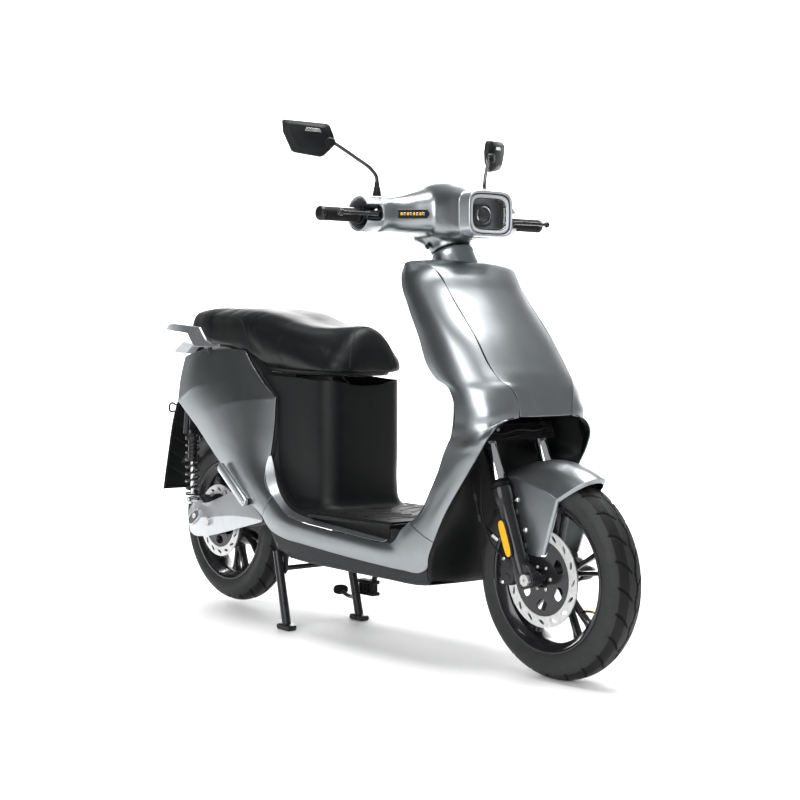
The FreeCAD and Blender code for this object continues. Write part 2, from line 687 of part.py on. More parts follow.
# ---- rear suspension and stands ----
def swingarm():
    pieces = [rod((ARM_PIVOT[0], -90, ARM_PIVOT[1]), (ARM_PIVOT[0], 90, ARM_PIVOT[1]), 17)]
    for side in (1, -1):
        arm = [(-985, 302), (-985, 268), (-1290, 228), (-1372, 292), (-1368, 322), (-1330, 322),
               (-1300, 280), (-1060, 312)]
        pieces.append(side_plate(arm, both(side, *ARM_Y)))
        x, z = SHOCK_EYE
        pin = rod((x, side * ARM_Y[0], z), (x, side * (SHOCK_Y + 13), z), SHOCK_PIN_R)
        pieces.append(pin)
    bore = rod((ARM_PIVOT[0], -120, ARM_PIVOT[1]), (ARM_PIVOT[0], 120, ARM_PIVOT[1]), 8 + FIT)
    axle = rod((REAR_AXLE[0], -120, REAR_AXLE[1]), (REAR_AXLE[0], 120, REAR_AXLE[1]), AXLE_R)
    return fused(pieces).cut(bore).cut(axle)


def swingarm_cover(side):
    outline = [(-1032, 280), (-1150, 344), (-1300, 300), (-1342, 350), (-1368, 306),
               (-1360, 204), (-1300, 204)]
    plate = side_plate(outline, both(side, 96, 99.5))
    window = rod((REAR_AXLE[0], -130, REAR_AXLE[1]), (REAR_AXLE[0], 130, REAR_AXLE[1]), 20)
    eye = rod((SHOCK_EYE[0], -130, SHOCK_EYE[1]), (SHOCK_EYE[0], 130, SHOCK_EYE[1]), 13)
    return plate.cut(window).cut(eye)


def rear_axle():
    x, z = REAR_AXLE
    pieces = [rod((x, -110, z), (x, 110, z), AXLE_R)]
    for a, b in ((-112, -94.5), (94.5, 112), (-75.5, -67), (50, 75.5)):
        pieces.append(rod((x, a, z), (x, b, z), 13))
    return fused(pieces)


def shock_body(side):
    top = V(SHOCK_TOP[0], side * SHOCK_Y, SHOCK_TOP[1])
    along = (V(SHOCK_EYE[0], side * SHOCK_Y, SHOCK_EYE[1]) - top).normalize()
    eye = rod((top.x, top.y - 12, top.z), (top.x, top.y + 12, top.z), 12)
    can = rod(top, top + along * 86, 12.5)
    cap = rod(top + along * 14, top + along * 24, 20.5)
    bore = rod(top + along * 14, top + along * 90, 5 + FIT)
    pin = rod((top.x, top.y - 20, top.z), (top.x, top.y + 20, top.z), 5 + FIT)
    return fused([eye, can, cap]).cut(bore).cut(pin)


def shock_rod(side):
    eye = V(SHOCK_EYE[0], side * SHOCK_Y, SHOCK_EYE[1])
    along = (V(SHOCK_TOP[0], side * SHOCK_Y, SHOCK_TOP[1]) - eye).normalize()
    ring = rod((eye.x, eye.y - 10, eye.z), (eye.x, eye.y + 10, eye.z), 12)
    shaft = rod(eye, eye + along * 122, 5)
    seat = rod(eye + along * 12, eye + along * 20, 20.5)
    hole = rod((eye.x, eye.y - 20, eye.z), (eye.x, eye.y + 20, eye.z), SHOCK_PIN_R + 2.5)
    return fused([ring, shaft, seat]).cut(hole)


def shock_spring(side):
    eye = V(SHOCK_EYE[0], side * SHOCK_Y, SHOCK_EYE[1])
    along = (V(SHOCK_TOP[0], side * SHOCK_Y, SHOCK_TOP[1]) - eye).normalize()
    start = eye + along * 21
    helix = Part.makeHelix(21, 141, 17.5)
    section = Part.Wire(Part.Circle(V(17.5, 0, 0), V(0, 1, 0), 3).toShape())
    coil = Part.Wire(helix).makePipeShell([section], True, True)
    coil.translate(V(0, 0, 3))
    coil.rotate(V(0, 0, 0), V(0, 1, 0), math.degrees(math.atan2(along.x, along.z)))
    coil.translate(start)
    return coil


def center_stand():
    px, pz = STAND_PIVOT
    fx, fy = STAND_FOOT
    pieces = [pipe((px, -94, pz), (px, 94, pz), 11, 6 + FIT)]
    for side in (1, -1):
        leg = [(px, side * 84, pz - 4), (px + 4, side * 87, pz - 32), (px + 12, side * 112, pz - 60),
               (fx, side * fy, 4)]
        pieces.append(tube_frame(leg, 9))
        pieces.append(block((fx - 30, fx + 22), both(side, fy - 16, fy + 16), (0, 8)))
    pieces.append(rod((px + 13, -110, pz - 62), (px + 13, 110, pz - 62), 7))
    stand = fused(pieces)
    return stand.cut(rod((px, -110, pz), (px, 110, pz), 6 + FIT))


def side_stand():
    px, py, pz = SIDE_STAND_PIVOT
    fx, fy, fz = SIDE_STAND_FOOT
    hub = pipe((px, py - 10, pz), (px, py + 7, pz), 13, 5 + FIT)
    leg = rod((px - 11, py - 1, pz - 6), (fx, fy, fz), 7.5)
    foot = block((fx - 22, fx + 12), (fy - 8, fy + 20), (fz - 12, fz - 2))
    return fused([hub, leg, foot]).cut(rod((px, py - 30, pz), (px, py + 20, pz), 5 + FIT))


def footpeg(side):
    x, y, z = PEG_PIVOT
    tx, tz = PEG_TIP
    length = math.hypot(tx - x, tz - z)
    bar = block((0, length), (-7, 7), (-13, 13))
    hub = Part.makeCylinder(8, 26, V(0, 0, -13), V(0, 0, 1))
    bar = bar.fuse(hub)
    bar.rotate(V(0, 0, 0), V(0, 1, 0), math.degrees(math.atan2(-(tz - z), tx - x)))
    bar.translate(V(x, side * y, z))
    return bar


# ---- the sub-parts, one node each ----
def main():
    os.makedirs("parts", exist_ok=True)
    front = (0.0, TYRE_R)

    save("front_tyre", tyre(front))
    save("front_rim", rim(front, 31, (-48.8, 42), 5, 12))
    save("front_disc", disc(front, -53, 111, 20))
    save("rear_tyre", tyre(REAR_AXLE))
    save("rear_rim", rim(REAR_AXLE, 78, (-48, 48), 7, 12).fuse(
        pipe((REAR_AXLE[0], -62, REAR_AXLE[1]), (REAR_AXLE[0], -47, REAR_AXLE[1]), 34, 8)))
    save("rear_disc", disc(REAR_AXLE, -66.2, 102, 20))

    save("fork_legs", *left_and_right(fork_leg))
    save("front_axle", front_axle())
    save("front_fender", front_fender())
    save("front_caliper", caliper(front, -53, 111, 176, 16))
    save("fork_reflectors", *left_and_right(fork_reflector))
    save("brake_hose", brake_hose())

    save("fork_yoke", fork_yoke())
    save("fork_stanchions", *left_and_right(stanchion))
    save("handlebar", handlebar())
    save("headset_cover", headset_cover())
    save("headlight_bezel", lamp_ring(-250, -222, 66, 53, 9, 20))
    save("headlight_unit", headlight_unit())
    save("front_lamp_lenses", *front_lamp_lenses())
    save("bar_shrouds", *left_and_right(bar_shroud))
    save("control_pods", *left_and_right(control_pod))
    save("left_grip", grip(1, BAR_R))
    save("throttle_grip", grip(-1, BAR_R + FIT))
    save("dash_display", dash_display())
    save("brake_lever_left", brake_lever(1))
    save("brake_lever_right", brake_lever(-1))
    save("turn_switch", turn_switch())
    save("horn_button", horn_button())
    for name, side in (("left", 1), ("right", -1)):
        save(f"mirror_stem_{name}", mirror_stem(side))
        save(f"mirror_head_{name}", mirror_head(side))
        save(f"footpeg_{name}", footpeg(side))

    save("main_frame", main_frame())
    save("front_shield", front_shield())
    save("side_fairings", *left_and_right(side_fairing))
    save("inner_leg_shield", inner_leg_shield())
    save("front_tunnel", front_tunnel())
    save("floor_deck", floor_deck())
    save("floor_mat", floor_mat())
    save("belly_skirt", belly_skirt())
    save("seat_box", seat_box())
    save("battery_pack", battery_pack())
    save("motor_controller", motor_controller())
    save("rear_panels", *left_and_right(rear_panel))
    save("grab_rail", grab_rail())
    save("rear_lights", *rear_lights())
    save("rear_mudguard", rear_mudguard())
    save("seat_base", seat_base())
    save("seat_cushion", seat_cushion())

    save("swingarm", swingarm())
    save("swingarm_covers", *left_and_right(swingarm_cover))
    save("rear_axle", rear_axle())
    save("rear_caliper", caliper(REAR_AXLE, -66.2, 102, 20, 9))
    save("shock_bodies", *left_and_right(shock_body))
    save("shock_rods", *left_and_right(shock_rod))
    save("shock_springs", *left_and_right(shock_spring))
    save("center_stand", center_stand())
    save("side_stand", side_stand())


main()
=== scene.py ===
"""The moped scooter's look: smooth skins, tyres, lamps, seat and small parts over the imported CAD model."""
import bpy
import bmesh
import math
from mathutils import Matrix, Vector


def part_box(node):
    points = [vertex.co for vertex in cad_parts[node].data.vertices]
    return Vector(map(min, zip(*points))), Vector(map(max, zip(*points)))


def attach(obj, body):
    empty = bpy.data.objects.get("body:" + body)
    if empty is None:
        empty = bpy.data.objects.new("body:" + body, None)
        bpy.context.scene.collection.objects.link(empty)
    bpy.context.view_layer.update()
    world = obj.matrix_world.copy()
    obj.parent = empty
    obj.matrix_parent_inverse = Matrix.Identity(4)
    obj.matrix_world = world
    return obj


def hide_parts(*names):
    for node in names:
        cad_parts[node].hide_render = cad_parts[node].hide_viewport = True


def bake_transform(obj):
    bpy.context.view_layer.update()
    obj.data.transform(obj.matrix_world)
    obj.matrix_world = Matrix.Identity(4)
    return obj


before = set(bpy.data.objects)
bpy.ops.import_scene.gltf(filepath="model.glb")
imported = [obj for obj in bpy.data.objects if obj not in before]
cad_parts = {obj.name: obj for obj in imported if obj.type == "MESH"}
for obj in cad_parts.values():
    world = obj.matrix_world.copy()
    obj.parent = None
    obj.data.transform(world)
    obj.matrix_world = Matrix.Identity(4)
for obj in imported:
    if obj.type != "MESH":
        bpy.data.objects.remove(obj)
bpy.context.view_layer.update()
scene = bpy.context.scene

# Shapes are written in millimetres from the front axle's line: x forwards, y to the rider's
# left, z up from the ground.
AXLE_X = (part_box("front_axle")[0][0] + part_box("front_axle")[1][0]) / 2
TYRE_R = 233
REAR_AXLE = (-1300, 251)
RAKE = math.radians(21)
BAR_X, BAR_Z = -430, 1057
MIRROR_BASE = (-441, 172, 1106)
MIRROR_JOINT = (-512, 252, 1236)
SHOCK_Y = 122
SHOCK_TOP = (-1350, 505)
SHOCK_EYE = (-1355, 310)
FENDER_R = 262
SIDES = ((1, "left"), (-1, "right"))


# ---- drawing helpers ----
def at(x, y, z):
    """A point in metres in the row's frame."""
    return Vector((x / 1000 + AXLE_X, y / 1000, z / 1000))


def leg_point(s, y=0):
    """A point up the fork legs' line, by its distance from the axle."""
    return (-30 - s * math.sin(RAKE), y, TYRE_R + s * math.cos(RAKE))


def stem_point(s, y=0):
    """A point up the steering axis, which lies behind the legs."""
    return (-30 - s * math.sin(RAKE) - 28 / math.cos(RAKE), y, TYRE_R + s * math.cos(RAKE))


def add(name, mesh, material, body, sharp=35):
    """Puts a mesh in the scene as a piece of a body, smooth except at sharp corners."""
    obj = bpy.data.objects.new(name, mesh)
    scene.collection.objects.link(obj)
    mesh.materials.clear()
    mesh.materials.append(material)
    mesh.shade_smooth()
    mesh.set_sharp_from_angle(angle=math.radians(sharp))
    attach(obj, body)
    return obj


def closed_mesh(name, verts, faces):
    """A mesh from points in metres, with every face turned outwards."""
    mesh = bpy.data.meshes.new(name)
    mesh.from_pydata(verts, [], faces)
    tidy = bmesh.new()
    tidy.from_mesh(mesh)
    bmesh.ops.recalc_face_normals(tidy, faces=tidy.faces)
    tidy.to_mesh(mesh)
    tidy.free()
    return mesh


def ring_faces(rings, count, capped=True):
    """Quads between rings of points that follow each other, and a cap at each end."""
    faces = []
    for j in range(rings - 1):
        for i in range(count):
            a, b = j * count + i, j * count + (i + 1) % count
            faces.append((a, b, b + count, a + count))
    if capped:
        faces.append(tuple(range(count))[::-1])
        faces.append(tuple(range((rings - 1) * count, rings * count)))
    return faces


def solid(name, verts, faces, material, body, bevel=0.0, sharp=35):
    """A closed piece from points in millimetres."""
    obj = add(name, closed_mesh(name, [at(*v) for v in verts], faces), material, body, sharp)
    if bevel:
        soften(obj, bevel)
    return obj


def soften(obj, width, segments=3, angle=30):
    """Rounds the piece's edges."""
    rounding = obj.modifiers.new("rounding", "BEVEL")
    rounding.width = width / 1000
    rounding.segments = segments
    rounding.limit_method = "ANGLE"
    rounding.angle_limit = math.radians(angle)
    rounding.harden_normals = True


def apply_all(obj):
    """Bakes the piece's modifiers into its mesh."""
    depsgraph = bpy.context.evaluated_depsgraph_get()
    mesh = bpy.data.meshes.new_from_object(obj.evaluated_get(depsgraph))
    obj.modifiers.clear()
    obj.data = mesh


def spline(points, steps):
    """A smooth curve through the points, with the same number of steps between each two."""
    pts = [Vector(p) for p in points]
    gaps = [max((b - a).length, 1e-6) for a, b in zip(pts, pts[1:])]
    slopes = [(b - a) / d for a, b, d in zip(pts, pts[1:], gaps)]
    tangents = []
    for i in range(1, len(pts) - 1):
        before, after = gaps[i - 1], gaps[i]
        tangents.append((slopes[i - 1] * after + slopes[i] * before) / (before + after))
    if tangents:
        tangents.insert(0, slopes[0] * 1.5 - tangents[0] * 0.5)
        tangents.append(slopes[-1] * 1.5 - tangents[-1] * 0.5)
    else:
        tangents = [slopes[0], slopes[0]]
    out = []
    for i, gap in enumerate(gaps):
        for step in range(steps):
            t = step / steps
            out.append(pts[i] * (2 * t ** 3 - 3 * t ** 2 + 1) + tangents[i] * gap * (t ** 3 - 2 * t ** 2 + t)
                       + pts[i + 1] * (3 * t ** 2 - 2 * t ** 3) + tangents[i + 1] * gap * (t ** 3 - t ** 2))
    return out + [pts[-1]]


def surface(rows, down, across):
    """Grid of points on a smooth surface through rows of points."""
    fine = [spline(row, across) for row in rows]
    columns = [spline(column, down) for column in zip(*fine)]
    return [list(row) for row in zip(*columns)]


def smooth_rings(rings, down, around):
    """Closed rings of points with smooth rings between them."""
    return [row[:-1] for row in surface([ring + ring[:1] for ring in rings], down, around)]


def crisp(rows, corners, share=0.12):
    """Adds a row just before and just after each corner row, so that the surface bends sharply there."""
    out = []
    for i, row in enumerate(rows):
        for near in (i - 1, i, i + 1):
            if near == i:
                out.append(row)
            elif i in corners and 0 <= near < len(rows):
                out.append([tuple(q + (p - q) * share for p, q in zip(a, b)) for a,
                            b in zip(rows[near], row)])
    return out


def opposite(points):
    """The same points on the other side of the middle plane, in the opposite order."""
    return [(x, -y, z) for x, y, z in points[::-1]]


def for_side(grid, side):
    """The grid is written for the rider's left (+y)."""
    return [[Vector((x, side * y, z)) for x, y, z in row] for row in grid]


def inset(grid, gap):
    """The grid with its border drawn in, which leaves a panel gap beside its neighbour."""
    rows = [[p.copy() for p in row] for row in grid]
    for row in rows:
        row[0] += (row[1] - row[0]).normalized() * gap
        row[-1] += (row[-2] - row[-1]).normalized() * gap
    for i in range(len(rows[0])):
        rows[0][i] += (rows[1][i] - rows[0][i]).normalized() * gap
        rows[-1][i] += (rows[-2][i] - rows[-1][i]).normalized() * gap
    return rows


def sheet(name, grid, thickness, material, body, inside, sink=0.0, edge=1.0):
    """A skin over the grid, outer face on it, that grows towards the inside point."""
    width = len(grid[0])
    verts = [p for row in grid for p in row]
    faces = []
    for r in range(len(grid) - 1):
        for c in range(width - 1):
            a = r * width + c
            faces.append((a, a + 1, a + width + 1, a + width))
    mesh = bpy.data.meshes.new(name)
    mesh.from_pydata([at(*v) for v in verts], [], faces)
    mesh.update()
    centre = at(*inside)
    lean = sum((p.center - centre).dot(p.normal) * p.area for p in mesh.polygons)
    if lean < 0:
        mesh.flip_normals()
    if sink:
        mesh.update()
        moves = [v.normal * sink / 1000 for v in mesh.vertices]
        for vertex, move in zip(mesh.vertices, moves):
            vertex.co -= move
    obj = add(name, mesh, material, body, 60)
    wall = obj.modifiers.new("wall", "SOLIDIFY")
    wall.thickness = thickness / 1000
    wall.offset = -1
    wall.use_even_offset = False
    if edge:
        soften(obj, edge, 2, 50)
    return obj


def plate(name, outlines, y0, y1, material, body, bevel=0.6, curve_steps=0):
    """A flat piece in x and z between two y values; outlines after the first are holes."""
    curve = bpy.data.curves.new(name, "CURVE")
    curve.dimensions = "2D"
    curve.fill_mode = "BOTH"
    curve.extrude = max(abs(y1 - y0) / 2 - bevel, 0.05) / 1000
    curve.bevel_depth = bevel / 1000
    curve.bevel_resolution = 2
    curve.offset = -bevel / 1000
    for pts in outlines:
        if curve_steps:
            loop = spline([(x, z, 0) for x, z in pts + pts[:1]], curve_steps)[:-1]
            pts = [(p[0], p[1]) for p in loop]
        line = curve.splines.new("POLY")
        line.points.add(len(pts) - 1)
        for point, (x, z) in zip(line.points, pts):
            point.co = (x / 1000, z / 1000, 0, 1)
        line.use_cyclic_u = True
    temp = bpy.data.objects.new(name + "_curve", curve)
    scene.collection.objects.link(temp)
    bpy.context.view_layer.update()
    mesh = bpy.data.meshes.new_from_object(temp.evaluated_get(bpy.context.evaluated_depsgraph_get()))
    bpy.data.objects.remove(temp)
    bpy.data.curves.remove(curve)
    mesh.transform(Matrix.Rotation(math.radians(90), 4, "X"))
    mesh.transform(Matrix.Translation(Vector((AXLE_X, (y0 + y1) / 2000, 0))))
    mesh.name = name
    return add(name, mesh, material, body, 30)


def circle(x, z, r, count=32):
    """Points round a circle in x and z."""
    return [(x + r * math.cos(2 * math.pi * i / count), z + r * math.sin(2 * math.pi * i / count))
            for i in range(count)]


def turned(name, profile, start, end, material, body, count=48, sharp=30):
    """A closed or capped outline of (distance along, radius) points turned about start-to-end."""
    origin = at(*start)
    axis = (at(*end) - origin).normalized()
    side = axis.orthogonal().normalized()
    other = axis.cross(side)
    verts = []
    for along, r in profile:
        for i in range(count):
            angle = 2 * math.pi * i / count
            verts.append(origin + axis * along / 1000
                         + (side * math.cos(angle) + other * math.sin(angle)) * r / 1000)
    closed = profile[0] == profile[-1]
    faces = ring_faces(len(profile), count, not closed)
    if closed:
        last = (len(profile) - 1) * count
        faces = [tuple(v - last if v >= last else v for v in f) for f in faces]
        verts = verts[:last]
    return add(name, closed_mesh(name, verts, faces), material, body, sharp)


def rod(name, a, b, r, material, body, bevel=0.6):
    """A round bar with bevelled ends."""
    length = (at(*b) - at(*a)).length * 1000
    profile = [(0, r - bevel), (bevel, r), (length - bevel, r), (length, r - bevel)]
    return turned(name, profile, a, b, material, body, 32)


def tube(name, points, r, material, body, steps=10, count=16):
    """A round tube along a smooth path."""
    path = [at(*p) for p in (spline(points, steps) if len(points) > 2 else points)]
    verts = []
    across = None
    for i, p in enumerate(path):
        ahead = (path[min(i + 1, len(path) - 1)] - path[max(i - 1, 0)]).normalized()
        across = ahead.orthogonal().normalized() if across is None else across - ahead * across.dot(ahead)
        across.normalize()
        other = ahead.cross(across)
        for k in range(count):
            angle = 2 * math.pi * k / count
            verts.append(p + (across * math.cos(angle) + other * math.sin(angle)) * r / 1000)
    return add(name, closed_mesh(name, verts, ring_faces(len(path), count)), material, body, 50)


def box(name, x, y, z, material, body, bevel=1.0):
    """A block between two values of x, y and z."""
    verts = [(px, py, pz) for px in x for py in y for pz in z]
    faces = [(0, 1, 3, 2), (4, 6, 7, 5), (0, 4, 5, 1), (2, 3, 7, 6), (0, 2, 6, 4), (1, 5, 7, 3)]
    return solid(name, verts, faces, material, body, bevel)


def loft(name, sections, material, body, bevel=0.0, sharp=40):
    """A closed body through rings of points, capped at both ends."""
    verts = [p for ring in sections for p in ring]
    return solid(name, verts, ring_faces(len(sections), len(sections[0])), material, body, bevel, sharp)


def superellipse(a, b, power, count):
    """Points round a rounded rectangle of half sizes a and b."""
    out = []
    for i in range(count):
        angle = 2 * math.pi * i / count
        c, s = math.cos(angle), math.sin(angle)
        out.append((a * math.copysign(abs(c) ** (2 / power), c), b * math.copysign(abs(s) ** (2 / power), s)))
    return out


def ball(name, r, start, end, body):
    """A steel ball whose poles are at the start and towards the end."""
    angles = [math.pi * i / 12 for i in range(1, 12)]
    outline = [(r - r * math.cos(a), r * math.sin(a)) for a in angles]
    turned(name, outline, start, end, BAR_STEEL, body, 28, 60)


def bolt(name, place, towards, r, material, body):
    """A button-head screw with a six-sided socket, on a surface."""
    head = [(0, r), (r * 0.35, r * 0.95), (r * 0.65, r * 0.6), (r * 0.65, r * 0.42), (r * 0.25, r * 0.4)]
    end = tuple(p + d for p, d in zip(place, towards))
    return turned(name, head, place, end, material, body, 24, 25)


# ---- materials ----
def number_node(nodes, links, kind, source, **settings):
    """A node that works on one number, which is linked to its first input."""
    node = nodes.new(kind)
    for key, value in settings.items():
        if hasattr(node, key):
            setattr(node, key, value)
        else:
            node.inputs[key.replace("_", " ").title()].default_value = value
    links.new(source, node.inputs[0])
    return node


def material(name, colour, roughness, metallic=0.0, grain=60, vary=0.08, bump=0.0, bump_grain=900,
             coat=0.0, tint=0.12):
    """A surface whose roughness and colour wander a little, with a fine bump."""
    mat = bpy.data.materials.new(name)
    mat.use_nodes = True
    nodes, links = mat.node_tree.nodes, mat.node_tree.links
    shader = nodes["Principled BSDF"]
    shader.inputs["Metallic"].default_value = metallic
    shader.inputs["Coat Weight"].default_value = coat
    shader.inputs["Coat Roughness"].default_value = 0.12
    shader.inputs["Specular IOR Level"].default_value = 0.5 if metallic > 0.5 else 0.17
    place = nodes.new("ShaderNodeTexCoord")
    cloud = nodes.new("ShaderNodeTexNoise")
    cloud.inputs["Scale"].default_value = grain
    cloud.inputs["Detail"].default_value = 6
    links.new(place.outputs["Object"], cloud.inputs["Vector"])
    rough = nodes.new("ShaderNodeMapRange")
    rough.inputs["To Min"].default_value = max(roughness - vary, 0.02)
    rough.inputs["To Max"].default_value = roughness + vary
    links.new(cloud.outputs["Fac"], rough.inputs["Value"])
    links.new(rough.outputs["Result"], shader.inputs["Roughness"])
    ramp = nodes.new("ShaderNodeValToRGB")
    ramp.color_ramp.elements[0].position = 0.3
    ramp.color_ramp.elements[1].position = 0.7
    ramp.color_ramp.elements[0].color = (*[c * (1 - tint) for c in colour[:3]], 1)
    ramp.color_ramp.elements[1].color = (*[min(c * (1 + tint), 1) for c in colour[:3]], 1)
    links.new(cloud.outputs["Fac"], ramp.inputs["Fac"])
    links.new(ramp.outputs["Color"], shader.inputs["Base Color"])
    if bump:
        fine = nodes.new("ShaderNodeTexNoise")
        fine.inputs["Scale"].default_value = bump_grain
        fine.inputs["Detail"].default_value = 3
        links.new(place.outputs["Object"], fine.inputs["Vector"])
        raised = nodes.new("ShaderNodeBump")
        raised.inputs["Strength"].default_value = bump
        raised.inputs["Distance"].default_value = 0.0004
        links.new(fine.outputs["Fac"], raised.inputs["Height"])
        links.new(raised.outputs["Normal"], shader.inputs["Normal"])
    return mat


def clear_material(name, colour, roughness):
    """Clear plastic or glass."""
    mat = material(name, colour, roughness, 0, 30, 0.02)
    shader = mat.node_tree.nodes["Principled BSDF"]
    shader.inputs["Transmission Weight"].default_value = 1.0
    shader.inputs["IOR"].default_value = 1.46
    return mat


def tyre_material():
    """Matte rubber with fine tread knurling, which follows the tyre's own UV map; painted shade darkens the
    base colour in the grooves and knurl hollows.
    """
    mat = material("tyre_rubber", (0.026, 0.0265, 0.027), 0.5, 0, 45, 0.1, 0.35, 1400)
    nodes, links = mat.node_tree.nodes, mat.node_tree.links
    grid = nodes.new("ShaderNodeUVMap")
    grid.uv_map = "tread"
    bricks = nodes.new("ShaderNodeTexBrick")
    bricks.inputs["Scale"].default_value = 1.0
    bricks.inputs["Mortar Size"].default_value = 0.2
    bricks.inputs["Brick Width"].default_value = 1.0
    bricks.inputs["Row Height"].default_value = 0.8
    links.new(grid.outputs["UV"], bricks.inputs["Vector"])
    across = nodes.new("ShaderNodeSeparateXYZ")
    links.new(grid.outputs["UV"], across.inputs["Vector"])
    size = number_node(nodes, links, "ShaderNodeMath", across.outputs["Y"], operation="ABSOLUTE")
    band = number_node(nodes, links, "ShaderNodeMapRange", size.outputs["Value"], from_min=5.5, from_max=6.5,
                       interpolation_type="SMOOTHSTEP")
    outer = number_node(nodes, links, "ShaderNodeMapRange", size.outputs["Value"], from_min=15.0,
                        from_max=14.0, interpolation_type="SMOOTHSTEP")
    both = number_node(nodes, links, "ShaderNodeMath", band.outputs["Result"], operation="MULTIPLY")
    links.new(outer.outputs["Result"], both.inputs[1])
    depth = number_node(nodes, links, "ShaderNodeMath", bricks.outputs["Fac"], operation="MULTIPLY")
    links.new(both.outputs["Value"], depth.inputs[1])
    # Painted shade: the base colour runs towards near black with groove depth and knurl depth.
    groove = nodes.new("ShaderNodeAttribute")
    groove.attribute_name = "groove"
    painted_groove_shade = number_node(nodes, links, "ShaderNodeMath", groove.outputs["Fac"], operation="MULTIPLY_ADD",
                       use_clamp=True)
    painted_groove_shade.inputs[1].default_value = 0.8
    links.new(depth.outputs["Value"], painted_groove_shade.inputs[2])
    painted_shade_mix = nodes.new("ShaderNodeMix")
    painted_shade_mix.data_type = "RGBA"
    links.new(painted_groove_shade.outputs["Value"], painted_shade_mix.inputs[0])
    links.new(nodes["Color Ramp"].outputs["Color"], painted_shade_mix.inputs[6])
    painted_shade_mix.inputs[7].default_value = (0.0015, 0.0015, 0.0015, 1)
    links.new(painted_shade_mix.outputs[2], nodes["Principled BSDF"].inputs["Base Color"])
    knurl = nodes.new("ShaderNodeBump")
    knurl.inputs["Strength"].default_value = 0.9
    knurl.inputs["Distance"].default_value = 0.0009
    knurl.invert = True
    links.new(depth.outputs["Value"], knurl.inputs["Height"])
    links.new(nodes["Bump"].outputs["Normal"], knurl.inputs["Normal"])
    links.new(knurl.outputs["Normal"], nodes["Principled BSDF"].inputs["Normal"])
    return mat


PAINT = material("body_paint", (0.275, 0.295, 0.305), 0.31, 0.96, 25, 0.03, 0.03, 2600, 0.15, 0.03)
BRIGHT = material("bright_trim", (0.52, 0.54, 0.56), 0.33, 0.9, 40, 0.04, 0.02, 1800, 0.0, 0.04)
BLACK = material("black_plastic", (0.0055, 0.006, 0.0065), 0.42, 0, 35, 0.06, 0.3, 2200)
DARK = material("dark_skirt", (0.016, 0.017, 0.019), 0.5, 0, 35, 0.08, 0.3, 1800)
FRAME_STEEL = material("frame_steel", (0.02, 0.02, 0.022), 0.3, 0.3, 50, 0.1, 0.12, 700, 0.3)
BAR_STEEL = material("bar_steel", (0.035, 0.035, 0.037), 0.26, 0.7, 60, 0.08, 0.1, 900)
CHROME = material("chrome", (0.78, 0.79, 0.80), 0.09, 1.0, 50, 0.05, 0.02, 500, 0, 0.04)
ZINC = material("axle_steel", (0.55, 0.55, 0.54), 0.28, 1.0, 90, 0.1, 0.15, 700)
DISC_STEEL = material("disc_steel", (0.60, 0.60, 0.60), 0.34, 1.0, 160, 0.1, 0.25, 1200)
RIM = material("rim_alloy", (0.02, 0.02, 0.022), 0.2, 0.4, 50, 0.07, 0.08, 600, 0.5)
CALIPER = material("caliper_alloy", (0.03, 0.03, 0.032), 0.38, 0.6, 80, 0.1, 0.3, 900)
RUBBER = material("soft_rubber", (0.006, 0.006, 0.0065), 0.55, 0, 60, 0.1, 0.35, 1300)
LEATHER = material("seat_leather", (0.0055, 0.006, 0.0065), 0.40, 0, 30, 0.07, 0.5, 1000)
SHELL = material("lamp_shell", (0.012, 0.012, 0.014), 0.12, 0, 60, 0.05, 0.03, 500, 0.6)
LED = material("led_ring", (0.50, 0.52, 0.54), 0.22, 0, 300, 0.06, 0.1, 500)
AMBER = material("amber", (0.80, 0.36, 0.012), 0.22, 0, 500, 0.1, 0.6, 420)
SHOCK = material("shock_steel", (0.02, 0.02, 0.022), 0.28, 0.3, 60, 0.08, 0.1, 700, 0.4)
BATTERY = material("battery_case", (0.03, 0.031, 0.034), 0.5, 0, 40, 0.1, 0.3, 1200)
ALLOY = material("controller_alloy", (0.5, 0.5, 0.51), 0.42, 1.0, 90, 0.1, 0.35, 800)
BRASS = material("valve_brass", (0.65, 0.45, 0.16), 0.3, 1.0, 90, 0.1, 0.1, 700)
GLASS = clear_material("clear_lens", (0.95, 0.97, 1.0), 0.04)
MIRROR = material("mirror_glass", (0.8, 0.82, 0.84), 0.03, 1.0, 20, 0.02)
THREAD = material("seat_thread", (0.02, 0.02, 0.022), 0.6, 0, 900, 0.1, 0.5, 3000)
TYRE = tyre_material()

CAD_LOOK = {
    FRAME_STEEL: ["main_frame", "swingarm", "fork_yoke"],
    BAR_STEEL: ["handlebar"],
    CHROME: ["fork_stanchions", "shock_rods"],
    ZINC: ["front_axle", "rear_axle"],
    BATTERY: ["battery_pack"],
    ALLOY: ["motor_controller"],
    BLACK: ["floor_deck", "turn_switch", "horn_button"],
    SHOCK: ["shock_bodies"],
}


def kept_cad():
    """The CAD pieces that stay in view get this file's materials."""
    for mat, names in CAD_LOOK.items():
        for name in names:
            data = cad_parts[name].data
            for i in range(max(len(data.materials), 1)):
                if i < len(data.materials):
                    data.materials[i] = mat
                else:
                    data.materials.append(mat)


